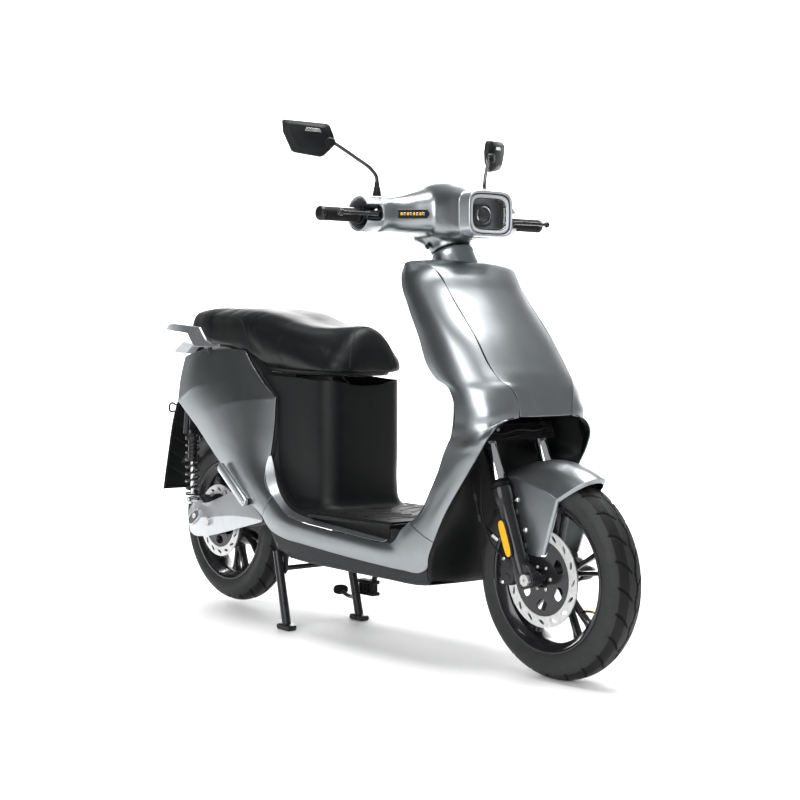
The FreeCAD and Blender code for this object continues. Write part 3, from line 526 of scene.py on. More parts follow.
# ---- front shield, wings and floor bands: one smooth side from the neck to the tail ----
# Each row runs from the seam or lip at the front to the rear or top edge, for the rider's left.
SIDE_ROWS = [
    [(-350, 131, 951), (-360, 136, 951), (-369, 139, 949), (-376, 140, 946), (-381, 138, 942)],
    [(-287, 129, 934), (-306, 140, 929), (-330, 149, 924), (-354, 152, 922), (-378, 149, 920)],
    [(-259, 120, 901), (-279, 138, 898), (-305, 152, 896), (-337, 158, 894), (-371, 154, 892)],
    [(-218, 120, 850), (-238, 140, 850), (-264, 156, 850), (-302, 163, 850), (-347, 158, 850)],
    [(-152, 120, 776), (-172, 142, 776), (-198, 160, 776), (-242, 170, 776), (-298, 165, 776)],
    [(-96, 119, 700), (-116, 141, 700), (-142, 159, 700), (-190, 173, 700), (-258, 169, 702)],
    [(-72, 112, 674), (-93, 138, 673), (-120, 158, 672), (-166, 173, 672), (-224, 171, 674)],
    [(-52, 98, 656), (-73, 131, 654), (-100, 157, 652), (-138, 172, 652), (-184, 172, 656)],
    [(-44, 88, 634), (-60, 124, 630), (-84, 155, 624), (-118, 171, 620), (-161, 175, 622)],
    [(-41, 83, 606), (-50, 118, 603), (-70, 152, 596), (-106, 170, 592), (-154, 176, 594)],
    [(-41, 84, 592), (-50, 118, 588), (-68, 149, 580), (-104, 170, 576), (-155, 176, 578)],
    [(-47, 106, 590), (-57, 132, 580), (-74, 156, 570), (-108, 172, 564), (-160, 177, 562)],
    [(-50, 136, 581), (-62, 151, 566), (-82, 166, 556), (-114, 175, 549), (-167, 177, 546)],
    [(-55, 159, 556), (-72, 168, 545), (-94, 175, 538), (-126, 178, 534), (-176, 178, 533)],
    [(-78, 171, 512), (-98, 176, 510), (-122, 179, 508), (-152, 180, 506), (-193, 178, 505)],
    [(-104, 175, 475), (-126, 179, 474), (-150, 182, 473), (-178, 182, 471), (-208, 180, 468)],
    [(-138, 178, 430), (-157, 182, 430), (-179, 184, 429), (-205, 185, 427), (-231, 182, 424)],
    [(-181, 182, 370), (-200, 186, 369), (-222, 187, 367), (-246, 187, 365), (-268, 184, 362)],
    [(-219, 184, 302), (-236, 187, 309), (-257, 189, 318), (-282, 189, 330), (-306, 186, 341)],
]
BAND_ROWS = [
    SIDE_ROWS[-1],
    [(-238, 184, 262), (-263, 188, 277), (-290, 190, 291), (-316, 190, 305), (-338, 185, 318)],
    [(-245, 181, 240), (-281, 187, 256), (-312, 190, 270), (-340, 189, 284), (-357, 185, 296)],
    [(-270, 180, 226), (-300, 186, 243), (-331, 189, 258), (-358, 188, 272), (-377, 184, 286)],
    [(-330, 182, 225), (-350, 186, 240), (-370, 188, 256), (-388, 187, 271), (-404, 183, 284)],
    [(-452, 182, 229), (-458, 186, 244), (-464, 188, 259), (-470, 187, 275), (-476, 183, 287)],
    [(-640, 179, 239), (-645, 183, 253), (-650, 184, 268), (-655, 183, 284), (-660, 179, 297)],
    [(-747, 176, 246), (-748, 180, 260), (-750, 181, 275), (-752, 180, 291), (-755, 176, 304)],
    [(-829, 173, 252), (-826, 177, 268), (-822, 178, 284), (-818, 177, 300), (-814, 172, 315)],
    [(-902, 170, 272), (-895, 173, 290), (-886, 174, 307), (-874, 173, 324), (-862, 169, 341)],
    [(-931, 169, 298), (-922, 172, 314), (-912, 172, 330), (-901, 171, 345), (-889, 167, 357)],
]
REAR_ROWS = [
    BAND_ROWS[-1],
    [(-996, 167, 333), (-983, 171, 353), (-967, 172, 372), (-949, 170, 389), (-929, 163, 402)],
    [(-1066, 166, 379), (-1045, 170, 405), (-1016, 170, 428), (-975, 164, 444), (-932, 145, 450)],
    [(-1142, 164, 428), (-1106, 168, 470), (-1055, 168, 502), (-990, 160, 520), (-925, 136, 528)],
    [(-1266, 160, 520), (-1200, 167, 565), (-1110, 167, 592), (-1005, 157, 605), (-919, 134, 612)],
    [(-1376, 156, 592), (-1290, 164, 630), (-1180, 164, 647), (-1080, 156, 655), (-972, 136, 650)],
    [(-1368, 152, 655), (-1290, 159, 684), (-1200, 159, 693), (-1112, 152, 698), (-1022, 136, 694)],
    [(-1352, 145, 718), (-1285, 150, 733), (-1200, 150, 739), (-1122, 145, 741), (-1062, 134, 736)],
]


def centre_row(z_side, x_side, y_side, z_mid, x_mid):
    """A row across the front panel between its two seams."""
    half = []
    for share, drop in ((1.0, 1.0), (0.8, 0.55), (0.45, 0.14)):
        half.append((x_mid + (x_side - x_mid) * drop, y_side * share, z_mid + (z_side - z_mid) * drop))
    return half + [(x_mid, 0, z_mid)] + opposite(half)


CENTRE_ROWS = [centre_row(*row) for row in (
    (946, -382, 120, 950, -392), (952, -350, 130, 956, -350), (944, -311, 131, 952, -306),
    (931, -283, 128, 940, -270), (915, -267, 122, 918, -245), (880, -243, 119, 880, -216),
    (820, -192, 118, 820, -167), (760, -140, 118, 760, -118), (706, -100, 118, 706, -78),
    (684, -82, 115, 686, -64), (672, -70, 111, 672, -57), (657, -52, 97, 656, -51),
    (640, -45, 88.5, 638, -46), (615, -42, 83.5, 615, -40), (592, -40, 81.5, 592, -34))]


def front_shield():
    """Painted centre panel and sides, each with a black liner behind it."""
    grid = inset(surface(CENTRE_ROWS, 6, 6), 0.9)
    sheet("shield_centre", grid, 3, PAINT, "chassis", (-260, 0, 700), 0, 1.2)
    back = surface(CENTRE_ROWS, 3, 3)
    sheet("shield_centre_liner", back, 1.5, BLACK, "chassis", (-260, 0, 700), 3.6, 0)
    for side, name in SIDES:
        grid = for_side(surface(SIDE_ROWS, 6, 6), side)
        sheet(f"shield_side_{name}", inset(grid, 0.9), 3, PAINT, "chassis", (-330, 0, 600), 0, 1.2)
        back = for_side(surface(SIDE_ROWS, 3, 3), side)
        sheet(f"shield_liner_{name}", back, 1.5, BLACK, "chassis", (-330, 0, 600), 3.6, 0)


FLOOR_TRIM_OUTER = [(-404, 183.5, 285), (-476, 184, 288), (-560, 182.5, 293), (-660, 180, 298),
                    (-755, 177, 305),
                    (-814, 173, 316), (-862, 170, 341), (-889, 168, 358), (-918, 166, 392), (-933, 158, 428),
                    (-934, 148, 456)]
FLOOR_TRIM_INNER = [(-395, 177, 291), (-476, 176, 297), (-560, 174, 303), (-660, 170, 309), (-755, 166, 317),
                    (-812, 160, 328), (-862, 152, 352), (-888, 147, 373), (-910, 142, 408), (-921, 140, 436),
                    (-928, 142, 460)]


def floor_bands():
    """Painted bands under the floor, each with a trim strip and a rubber curb up to the mat."""
    for side, name in SIDES:
        grid = for_side(surface(BAND_ROWS, 6, 6), side)
        sheet(f"floor_band_{name}", inset(grid, 0.7), 3, PAINT, "chassis", (-600, 0, 265), 0, 1.0)
        strip = for_side(surface([FLOOR_TRIM_OUTER, FLOOR_TRIM_INNER], 3, 6), side)
        sheet(f"floor_trim_{name}", strip, 2.5, PAINT, "chassis", (-650, 0, 200), -0.6, 0.8)
        curb = []
        for x, y, z in FLOOR_TRIM_INNER:
            far = (x, 154, 331) if x > -700 else (x, 122, max(334, z + 4))
            crest = (x, (y + far[1]) / 2, max(far[2] - 1, z + 5))
            curb.append([(x, y + 0.5, z - 2), (x, y - 4, z + 4), crest, far])
        grid = for_side(surface(curb, 6, 5), side)
        sheet(f"floor_curb_{name}", grid, 3, RUBBER, "chassis", (-650, 0, 200), 0, 0.6)


def rear_panels():
    """Painted tail sides, each with a black liner and an infill up to the seat box."""
    for side, name in SIDES:
        grid = for_side(surface(crisp(REAR_ROWS, (4, 5)), 6, 8), side)
        sheet(f"rear_panel_{name}", inset(grid, 0.7), 3, PAINT, "chassis", (-1150, 0, 500), 0, 1.2)
        rows = []
        for row in REAR_ROWS:
            x, y, z = row[-1]
            rows.append(row[:-1] + [(x + 9, y - 9, z + 6)])
        back = for_side(surface(crisp(rows, (4, 5)), 4, 4), side)
        sheet(f"rear_liner_{name}", back, 2, BLACK, "chassis", (-1150, 0, 500), 3.8, 0)
        edge = [(x + 8, y - 10, z + 5) for x, y, z in [row[-1] for row in REAR_ROWS[1:]]]
        deep = [(x + 16, 112, z + 10) for x, y, z in edge]
        wall = for_side(surface([edge, deep], 4, 6), side)
        sheet(f"rear_infill_{name}", wall, 2, BLACK, "chassis", (-1200, 0, 500), 0, 0.6)


def leg_shield():
    """Black inner side of the front shield, between the two painted sides."""
    rows = [(946, -384, 134, -402), (900, -372, 146, -392), (850, -350, 153, -352), (776, -304, 159, -322),
            (700, -260, 163, -300), (660, -190, 166, -292), (620, -160, 168, -290), (575, -156, 170, -292),
            (533, -176, 172, -298), (470, -210, 174, -314), (424, -236, 176, -331), (362, -276, 178, -365),
            (331, -318, 178, -384)]
    grid = []
    for z, x, y, x_mid in rows:
        half = [(x, y, z), (x - 8, y - 6, z), (max(x - 36, x_mid + (x - x_mid) * 0.25), y - 36, z),
                (x_mid + (x - x_mid) * 0.1, 70, z)]
        grid.append(half + [(x_mid - 4, 0, z)] + opposite(half))
    sheet("inner_leg_shield_skin", surface(grid, 5, 5), 3, BLACK, "chassis", (-200, 0, 620), 0, 1.0)


def front_tunnel():
    """Black wall behind the front wheel, with rounded lower corners that run into the belly."""
    rows = [(624, -108, 148, -235), (596, -100, 156, -240), (562, -96, 166, -248), (522, -92, 171, -252),
            (488, -98, 172, -255), (430, -142, 175, -255), (370, -185, 179, -256), (302, -222, 181, -258),
            (255, -240, 180, -260), (225, -250, 174, -262), (204, -262, 160, -266), (192, -278, 140, -276)]
    grid = []
    for z, x, y, x_mid in rows:
        if z > 500:
            half = [(x, y, z), (x - 50, y - 20, z), (-212, y * 0.69, z), (x_mid, 60, z)]
        else:
            half = [(x, y, z), (x - 12, y - 14, z), ((x + x_mid) / 2 - 8, y - 50, z), (x_mid, 60, z)]
        grid.append(half + [(x_mid, 0, z)] + opposite(half))
    sheet("front_tunnel_skin", surface(grid, 5, 5), 3, BLACK, "chassis", (-420, 0, 330), 0, 1.0)


def belly_skirt():
    """Dark tray under the floor bands."""
    for side, name in SIDES:
        rows = [[(-246, 176, 236), (-250, 174, 226), (-262, 160, 204), (-278, 140, 192)],
                [(-300, 177, 240), (-300, 172, 222), (-302, 158, 198), (-304, 138, 188)],
                [(-452, 177, 244), (-452, 172, 222), (-452, 160, 195), (-452, 140, 188)],
                [(-640, 175, 252), (-640, 170, 230), (-640, 160, 201), (-640, 140, 190)],
                [(-780, 172, 262), (-780, 167, 238), (-775, 158, 208), (-770, 138, 192)],
                [(-900, 166, 290), (-892, 163, 262), (-866, 156, 220), (-850, 136, 196)]]
        grid = for_side(surface(rows, 6, 5), side)
        sheet(f"belly_side_{name}", grid, 3, DARK, "chassis", (-560, 0, 260), 0, 0.8)
    rows = [[(x, y, z), (x_mid, 0, z_mid), (x, -y, z)] for x, y, z, x_mid, z_mid in (
        (-278, 140, 192, -276, 190), (-452, 140, 188, -452, 187), (-700, 139, 191, -700, 189),
        (-850, 136, 196, -850, 194))]
    sheet("belly_bottom", surface(rows, 5, 8), 3, DARK, "chassis", (-560, 0, 300), 0, 0.8)


def floor_mat():
    """Ribbed rubber mat with chevron grooves on the floor."""
    rows = [[(x, y, 330.5) for x in (-398, -480, -600, -704)] for y in (158, 0, -158)]
    sheet("floor_mat_skin", surface(rows, 8, 8), 4, RUBBER, "chassis", (-550, 0, 0), 0, 1.5)
    for i in range(7):
        x = -420 - i * 42
        for side, name in SIDES:
            path = [(x + 6, side * 18, 331), (x - 34, side * 82, 331), (x - 34, side * 128, 331)]
            bands = [[Vector((px + ahead, py, pz + up)) for px, py, pz in path]
                     for ahead, up in ((4, -0.5), (1, 1.4), (-4, 1.4))]
            sheet(f"mat_chevron_{i}_{name}", bands, 1.2, RUBBER, "chassis", (x, 0, 0), 0, 0.3)


def seat_box():
    """Black box under the seat with rounded front corners and a flared foot."""
    def ring(z, grow, lip=0.0):
        half = 126 + grow
        front = -698 + grow
        corner = 50
        pts = [(-1008, half, z + lip), (-900, half, z + lip * 0.7), (-820, half, z + lip * 0.4)]
        for i in range(9):
            angle = math.radians(90 - 90 * i / 8)
            y = half - corner + corner * math.sin(angle)
            dip = max(0.0, 1 - (y / 100) ** 2) * lip * 1.1
            pts.append((front - corner + corner * math.cos(angle), y, z - dip))
        pts.append((front + 2, half * 0.3, z - lip))
        pts.append((front + 2, 0, z - lip * 1.1))
        return pts + opposite(pts[:-1])

    levels = [(329, 24), (332, 15), (339, 7), (352, 2), (375, 0), (480, 0), (600, 0)]
    rows = [ring(z, grow) for z, grow in levels] + [ring(652, 0, 11), ring(661, 0, 13)]
    sheet("seat_box_skin", surface(rows, 4, 2), 3.5, BLACK, "chassis", (-870, 0, 500), 0, 1.4)
    inner = surface([ring(600, -8), ring(640, -7, 10), ring(652, -5, 12)], 2, 2)
    sheet("seat_box_inner_lip", inner, 2, RUBBER, "chassis", (-1200, 0, 900), 0, 0.8)
    lid = [[(x, y, 640) for y in (-112, 0, 112)] for x in (-1000, -860, -720)]
    sheet("seat_box_lid", surface(lid, 2, 2), 3, SHELL, "chassis", (-870, 0, 0), 0, 0.5)


# ---- seat ----
SEAT_RINGS = [(-1390, 94, 764, 820, 0), (-1374, 112, 758, 838, 0), (-1320, 126, 752, 848, 0),
              (-1220, 133, 748, 848, 0), (-1120, 137, 738, 846, 0), (-1050, 137, 718, 841, 0),
              (-985, 136, 694, 830, 0), (-915, 134, 689, 811, 0), (-860, 132, 687, 799, 0.05),
              (-800, 130, 684, 793, 0.3), (-755, 127, 682, 795, 0.65), (-722, 122, 681, 797, 0.9),
              (-698, 112, 681, 790, 1), (-682, 94, 682, 764, 1), (-672, 70, 684, 730, 1)]


def seat_ring(x, half, low, high, dome):
    """Section across the seat: flat base and swelling sides, which turn into an arch at the nose."""
    rise = high - low
    flat = [(0.0, 0.0), (0.82, 0.0), (0.97, 0.05), (1.0, 0.32), (0.97, 0.66), (0.88, 0.9), (0.66, 0.98),
            (0.36, 1.0), (0.0, 0.985)]
    arch = [(0.0, 0.0), (0.80, 0.0), (0.97, 0.04), (0.98, 0.17), (0.80, 0.44), (0.62, 0.7), (0.42, 0.88),
            (0.2, 0.97), (0.0, 1.0)]
    shape = [(a + (c - a) * dome, b + (d - b) * dome) for (a, b), (c, d) in zip(flat, arch)]
    right = [(x, half * a, low + rise * b) for a, b in shape]
    return right + opposite(right[1:-1])


def seat_cushion():
    """Padded seat: its shape is wrapped in a cover that a cloth simulation fills."""
    seat = loft("seat_cushion_skin", smooth_rings([seat_ring(*r) for r in SEAT_RINGS], 4, 3), LEATHER, "seat")
    bpy.context.view_layer.objects.active = seat
    shell = seat.modifiers.new("remesh", "REMESH")
    shell.mode = "VOXEL"
    shell.voxel_size = 0.0055
    shell.use_smooth_shade = True
    apply_all(seat)
    puff(seat)
    seat.data.shade_smooth()
    round_off = seat.modifiers.new("round", "SMOOTH")
    round_off.iterations = 6
    finer = seat.modifiers.new("finer", "SUBSURF")
    finer.levels = 1
    finer.render_levels = 1
    apply_all(seat)
    seat.data.materials.clear()
    seat.data.materials.append(LEATHER)
    seat.data.shade_smooth()
    return seat


PUFF_LIMIT = 0.006


def puff(seat):
    """Fills the cover with a little pressure, as foam does, and keeps each point within 6 mm of its start."""
    start = [v.co.copy() for v in seat.data.vertices]
    low = min(v.co.z for v in seat.data.vertices)
    pin = seat.vertex_groups.new(name="base")
    pin.add([v.index for v in seat.data.vertices if v.co.z < low + 0.008], 1.0, "REPLACE")
    cloth = seat.modifiers.new("cover", "CLOTH")
    cloth.settings.quality = 5
    cloth.settings.use_pressure = True
    cloth.settings.uniform_pressure_force = 4
    cloth.settings.tension_stiffness = 20
    cloth.settings.compression_stiffness = 20
    cloth.settings.vertex_group_mass = "base"
    cloth.settings.effector_weights.gravity = 0
    for number in range(1, 21):
        scene.frame_set(number)
    depsgraph = bpy.context.evaluated_depsgraph_get()
    mesh = bpy.data.meshes.new_from_object(seat.evaluated_get(depsgraph))
    seat.modifiers.clear()
    for vertex, before in zip(mesh.vertices, start):
        move = vertex.co - before
        if move.length > PUFF_LIMIT:
            vertex.co = before + move.normalized() * PUFF_LIMIT
    seat.data = mesh
    scene.frame_set(1)


def seam(name, seat, path, steps=14):
    """A sewn seam laid on the cushion: the path's points are drawn to its nearest surface."""
    pts = []
    for p in spline(path, steps):
        _, place, normal, _ = seat.closest_point_on_mesh(at(*p))
        pts.append(place + normal * 0.0002)
    back = [((p.x - AXLE_X) * 1000, p.y * 1000, p.z * 1000) for p in pts]
    tube(name, back, 1.1, THREAD, "seat", 1, 8)


def seat_seams(seat):
    """A seam down each side of the rear seat and one round the nose."""
    rear = [(-1388, 70, 832), (-1300, 118, 838), (-1160, 130, 834), (-1085, 136, 815), (-1060, 140, 775),
            (-1035, 140, 725)]
    for side, name in SIDES:
        seam(f"seat_seam_rear_{name}", seat, [(x, side * y, z) for x, y, z in rear])
    nose = [(-688, 72, 684), (-684, 66, 728), (-690, 54, 760), (-704, 30, 786), (-708, 0, 795)]
    seam("seat_seam_nose", seat, nose + opposite(nose[:-1]))


def seat_tray():
    """Dark tray under the cushion, with a rim that shows as a shadow line over the seat box."""
    rings = []
    for z, grow in ((671, -26), (673, -15), (684, -11), (690, -14)):
        ring = [(-1360, 92 + grow, z + 66), (-1180, 126 + grow, z + 62), (-1060, 128 + grow, z + 36),
                (-985, 128 + grow, z + 10), (-900, 127 + grow, z + 3), (-800, 125 + grow, z),
                (-740, 117 + grow, z),
                (-700 + grow / 2, 88 + grow, z), (-680 + grow, 50, z)]
        rings.append(ring + opposite(ring))
    loft("seat_tray", rings, BLACK, "seat", 1.0, 40)


# ---- front mudguard ----
def front_fender():
    """Domed crown over the tyre, flat cheeks at its sides, and a rolled front lip."""
    rows = []
    for angle, x_edge, z_edge in ((120, -112, 457), (108, -84, 452), (94, -45, 445), (80, 0, 433),
                                  (68, 30, 424), (61, 50, 413)):
        x_top = FENDER_R * math.cos(math.radians(angle))
        z_top = TYRE_R + FENDER_R * math.sin(math.radians(angle))
        half = []
        for y, share in ((57, 0.0), (52, 0.34), (42, 0.68), (22, 0.93)):
            half.append((x_edge + (x_top - x_edge) * share, y, z_edge + (z_top - z_edge) * share))
        rows.append(half + [(x_top, 0, z_top)] + opposite(half))
    sheet("fender_crown", surface(rows, 8, 5), 3, PAINT, "fork_lower", (0, 0, 300), 0, 1.2)
    inwards = [tuple(p + (c - p) * 0.05 for p, c in zip(point, (0, 0, TYRE_R))) for point in rows[-1]]
    lip = surface([rows[-1], [(x + 1.5, y * 0.97, z) for x, y, z in inwards]], 2, 5)
    sheet("fender_front_lip", lip, 2.5, PAINT, "fork_lower", (-60, 0, 350), 0, 0.8)
    for side, name in SIDES:
        top = [(row[0][0], side * 57.4, row[0][2]) for row in rows]
        low = [(-46, side * 59, 287), (-36, side * 59.5, 284), (-24, side * 60, 282), (-12, side * 60, 281),
               (-1, side * 59.5, 281), (6, side * 59, 285)]
        middle = [((a[0] + b[0]) / 2, side * 59.5, (a[2] + b[2]) / 2) for a, b in zip(top, low)]
        cheek = surface([top, middle, low], 6, 6)
        sheet(f"fender_cheek_{name}", cheek, 3, PAINT, "fork_lower", (0, 0, 350), 0, 1.0)
        ends = [top[-1], middle[-1], low[-1]]
        lip = [ends]
        for moves in (((4, 55, 1), (5, 56, 0), (4, 56, 0)), ((5, 49, 2), (6, 49, 0), (5, 49, 0))):
            lip.append([(x + ahead, side * y, z + up) for (x, _, z), (ahead, y, up) in zip(ends, moves)])
        sheet(f"fender_lip_{name}", surface(lip, 4, 6), 2.5, PAINT, "fork_lower", (-60, 0, 350), 0, 0.8)
        for i, (x, z) in enumerate(((-74, 403), (-46, 337))):
            bolt(f"fender_bolt_{name}_{i}", (x, side * 59, z), (0, side * 10, 0), 7, ZINC, "fork_lower")


# ---- wheels ----
GROOVE_PITCH = 61
GROOVE_DEPTH = 3.2
KNURL_LONG, KNURL_WIDE = 3.2, 2.6


def groove_depth(around, across):
    """How deep the tread is cut at a distance round the tyre and a distance across it, both in mm."""
    centre_line = 4.4 + 6.4 * abs(((around / GROOVE_PITCH) % 1) * 2 - 1) - 3.2
    depth = 1 - abs(across - centre_line) / 2.6
    for side, shift in ((1, 0), (-1, 30)):
        run = across * side
        if 6 < run < 42:
            bend = (run - 6) * 0.9 + 7 * math.sin((run - 6) / 36 * math.pi)
            gap = (around + shift - bend) % GROOVE_PITCH
            gap = min(gap, GROOVE_PITCH - gap)
            depth = max(depth, (1 - gap / 3.4) * min((run - 6) / 4, (42 - run) / 6, 1))
    return max(0.0, min(depth * 1.8, 1.0)) * GROOVE_DEPTH


def tyre(name, centre, body):
    """Round-shouldered scooter tyre with its tread cut into the mesh."""
    count = 900
    profile = []
    half = 46
    crown_r = (half ** 2 + 33 ** 2) / 66
    top = math.asin(half / crown_r)
    steps = 44
    for i in range(steps + 1):
        a = -top + 2 * top * i / steps
        profile.append((crown_r * math.sin(a), TYRE_R - crown_r * (1 - math.cos(a))))
    wall = [(45.4, 192), (43.5, 183), (40.5, 175), (38.6, 169), (36, 166.5), (30, 166)]
    profile = [(-y, r) for y, r in wall[::-1]] + profile + wall
    verts, faces, uvs, cuts = [], [], [], []
    arc = [0.0]
    for a, b in zip(profile, profile[1:]):
        arc.append(arc[-1] + math.dist(a, b))
    middle = arc[-1] / 2
    for i in range(count):
        angle = 2 * math.pi * i / count
        for (y, r), s in zip(profile, arc):
            depth = groove_depth(angle * TYRE_R, s - middle) if r > 196 else 0
            ring = 0.5 if 174 < r < 176 else 0
            rr = r - depth + ring
            cuts.append(depth)
            verts.append((centre[0] + rr * math.cos(angle), y, centre[1] + rr * math.sin(angle)))
    width = len(profile)
    mesh = bpy.data.meshes.new(name)
    cell = TYRE_R * 2 * math.pi / count / KNURL_LONG
    for i in range(count):
        for j in range(width - 1):
            a = i * width + j
            b = ((i + 1) % count) * width + j
            faces.append((a, b, b + 1, a + 1))
            u0, u1 = i * cell, (i + 1) * cell
            v0, v1 = (arc[j] - middle) / KNURL_WIDE, (arc[j + 1] - middle) / KNURL_WIDE
            uvs += [(u0, v0), (u1, v0), (u1, v1), (u0, v1)]
    mesh.from_pydata([at(*v) for v in verts], [], faces)
    # Groove depth on each point, which the tyre material turns into painted shade in the grooves.
    cut = mesh.attributes.new("groove", "FLOAT", "POINT")
    cut.data.foreach_set("value", cuts)
    layer = mesh.uv_layers.new(name="tread")
    for loop, uv in zip(layer.data, uvs):
        loop.uv = uv
    mesh.flip_normals()
    return add(name, mesh, TYRE, body, 50)


def rim(name, centre, body, spokes, hub_r, hub_y):
    """Dish of the rim, its hub and pairs of spokes."""
    barrel = [(-41.5, 171), (-39, 172.5), (-37, 171), (-36, 166), (-30, 164), (-24, 160), (-18, 153),
              (18, 153),
              (24, 160), (30, 164), (36, 166), (37, 171), (39, 172.5), (41.5, 171), (42, 167), (40.5, 163),
              (32, 158), (24, 148), (18, 145.5), (-18, 145.5), (-24, 148), (-32, 158), (-40.5, 163),
              (-42, 167), (-41.5, 171)]
    start = (centre[0], 0, centre[1])
    turned(f"{name}_barrel", barrel, start, (centre[0], 1, centre[1]), RIM, body, 128, 25)
    lo, hi = hub_y
    hub = [(lo, 8), (lo, hub_r - 8), (lo + 3, hub_r - 5), (lo + 10, hub_r), (hi - 10, hub_r),
           (hi - 3, hub_r - 5),
           (hi, hub_r - 8), (hi, 8)]
    turned(f"{name}_hub", hub, start, (centre[0], 1, centre[1]), RIM, body, 64, 25)
    for i in range(spokes):
        for lean in (-8.5, 8.5):
            angle = math.radians(360 * i / spokes + 18)
            spread = math.radians(lean)
            rings = []
            for r, half, deep, share in ((hub_r - 6, 9, 13, 0.55), (hub_r + 20, 6.5, 12, 0.75),
                                         (115, 5.5, 11, 1.0), (138, 7, 12, 1.1), (149, 12, 14, 1.15)):
                a = angle + spread * share
                ring = []
                for u, v in superellipse(half, deep, 3.2, 12):
                    ring.append((centre[0] + r * math.cos(a) - u * math.sin(a), v,
                                 centre[1] + r * math.sin(a) + u * math.cos(a)))
                rings.append(ring)
            loft(f"{name}_spoke_{i}_{'a' if lean < 0 else 'b'}", smooth_rings(rings, 4, 1), RIM, body, 0, 50)


def disc(name, centre, y, r_out, r_hub, body):
    """Ground brake disc with oval slots, on a black carrier with round windows."""
    slots = []
    for i in range(16):
        angle = 2 * math.pi * i / 16
        lean = angle + math.radians(65)
        x, z = centre[0] + (r_out - 13) * math.cos(angle), centre[1] + (r_out - 13) * math.sin(angle)
        slot = []
        for u, v in superellipse(9.5, 3.2, 2.3, 18):
            slot.append((x + u * math.cos(lean) - v * math.sin(lean),
                         z + u * math.sin(lean) + v * math.cos(lean)))
        slots.append(slot)
    plate(f"{name}_ring", [circle(*centre, r_out, 120), circle(*centre, r_out - 26, 96)] + slots,
          y + 0.2, y + 3.8, DISC_STEEL, body, 0.4)
    windows = []
    for i in range(6):
        angle = 2 * math.pi * (i + 0.5) / 6
        mid = (r_hub + 14 + r_out - 26) / 2
        window = []
        for u, v in superellipse(12, 16, 2.6, 24):
            r = mid + u
            a = angle + v / mid
            window.append((centre[0] + r * math.cos(a), centre[1] + r * math.sin(a)))
        windows.append(window)
    plate(f"{name}_carrier", [circle(*centre, r_out - 25.5, 96), circle(*centre, r_hub, 48)] + windows,
          y + 0.9, y + 3.2, RIM, body, 0.3)
    away = -1 if y < 0 else 1
    for i in range(6):
        angle = 2 * math.pi * i / 6
        x, z = centre[0] + (r_hub + 7) * math.cos(angle), centre[1] + (r_hub + 7) * math.sin(angle)
        bolt(f"{name}_bolt_{i}", (x, y + (0.6 if away < 0 else 3.4), z), (0, away * 10, 0), 4.5, ZINC, body)


def valve(name, centre, angle, body):
    """Brass valve stem that leans out of the rim's barrel."""
    c, s = math.cos(math.radians(angle)), math.sin(math.radians(angle))
    foot = (centre[0] + 147 * c, -4, centre[1] + 147 * s)
    knee = (centre[0] + 134 * c, -6, centre[1] + 134 * s)
    tip = (centre[0] + 126 * c, -30, centre[1] + 126 * s)
    tube(f"{name}_stem", [foot, knee, tip], 3, BRASS, body, 8, 12)
    rod(f"{name}_cap", tip, (tip[0], tip[1] - 10, tip[2]), 4, RUBBER, body)
    rod(f"{name}_base", foot, tuple(f + (k - f) * 0.3 for f, k in zip(foot, knee)), 6.5, RUBBER, body)


def caliper(name, centre, y, disc_r, angle, body, out):
    """Two-piston caliper: rounded outer half, inner half, bridge, piston caps and slide pins."""
    c, s = math.cos(math.radians(angle)), math.sin(math.radians(angle))

    def place(r, t, py):
        return (centre[0] + r * c - t * s, py, centre[1] + r * s + t * c)

    for part, y0, y1, tall in (("outer", y - out, y - 1.8, 33), ("inner", y + 5.8, y + 11, 31)):
        rings = []
        for depth, shrink in ((y0, 5), (y0 + 2.5, 1.5), ((y0 + y1) / 2, 0), (y1, 0)):
            ring = [place(disc_r - 13 + u, v, depth) for u,
                    v in superellipse(23 - shrink, tall - shrink, 3.4, 28)]
            rings.append(ring)
        loft(f"{name}_{part}", rings, CALIPER, body, 0.5, 40)
    for t in (-24, 0, 24):
        box_ring = [[place(disc_r + u, t + v, depth) for u, v in ((3, -6), (10.5, -6), (10.5, 6), (3, 6))]
                    for depth in (y - out + 1, y + 10)]
        loft(f"{name}_bridge_{t + 24}", box_ring, CALIPER, body, 1.2, 40)
    for i, t in enumerate((-15, 15)):
        cup = place(disc_r - 15, t, y - out - 1.5)
        turned(f"{name}_piston_cap_{i}", [(0, 9), (1.6, 10.5), (3, 11)], cup, (cup[0], y, cup[2]), CALIPER,
               body, 32)
    for i, t in enumerate((-27, 27)):
        spot = place(disc_r - 2, t, y - out + 0.5)
        bolt(f"{name}_bolt_{i}", spot, (0, -10, 0), 5, ZINC, body)


def axle_nut(name, x, y, z, body):
    """Six-sided nut on an axle's end, and the axle's tip."""
    away = 1 if y > 0 else -1
    ring = [(x + 11.5 * math.cos(math.pi * i / 3), z + 11.5 * math.sin(math.pi * i / 3)) for i in range(6)]
    plate(f"{name}_nut", [ring], y - away * 9.5, y - away * 1.5, ZINC, body, 0.8)
    tip = [(0, 5.6), (1.4, 5.2), (1.6, 3)]
    turned(f"{name}_end", tip, (x, y - away * 1.6, z), (x, y + away * 5, z), ZINC, body, 24)


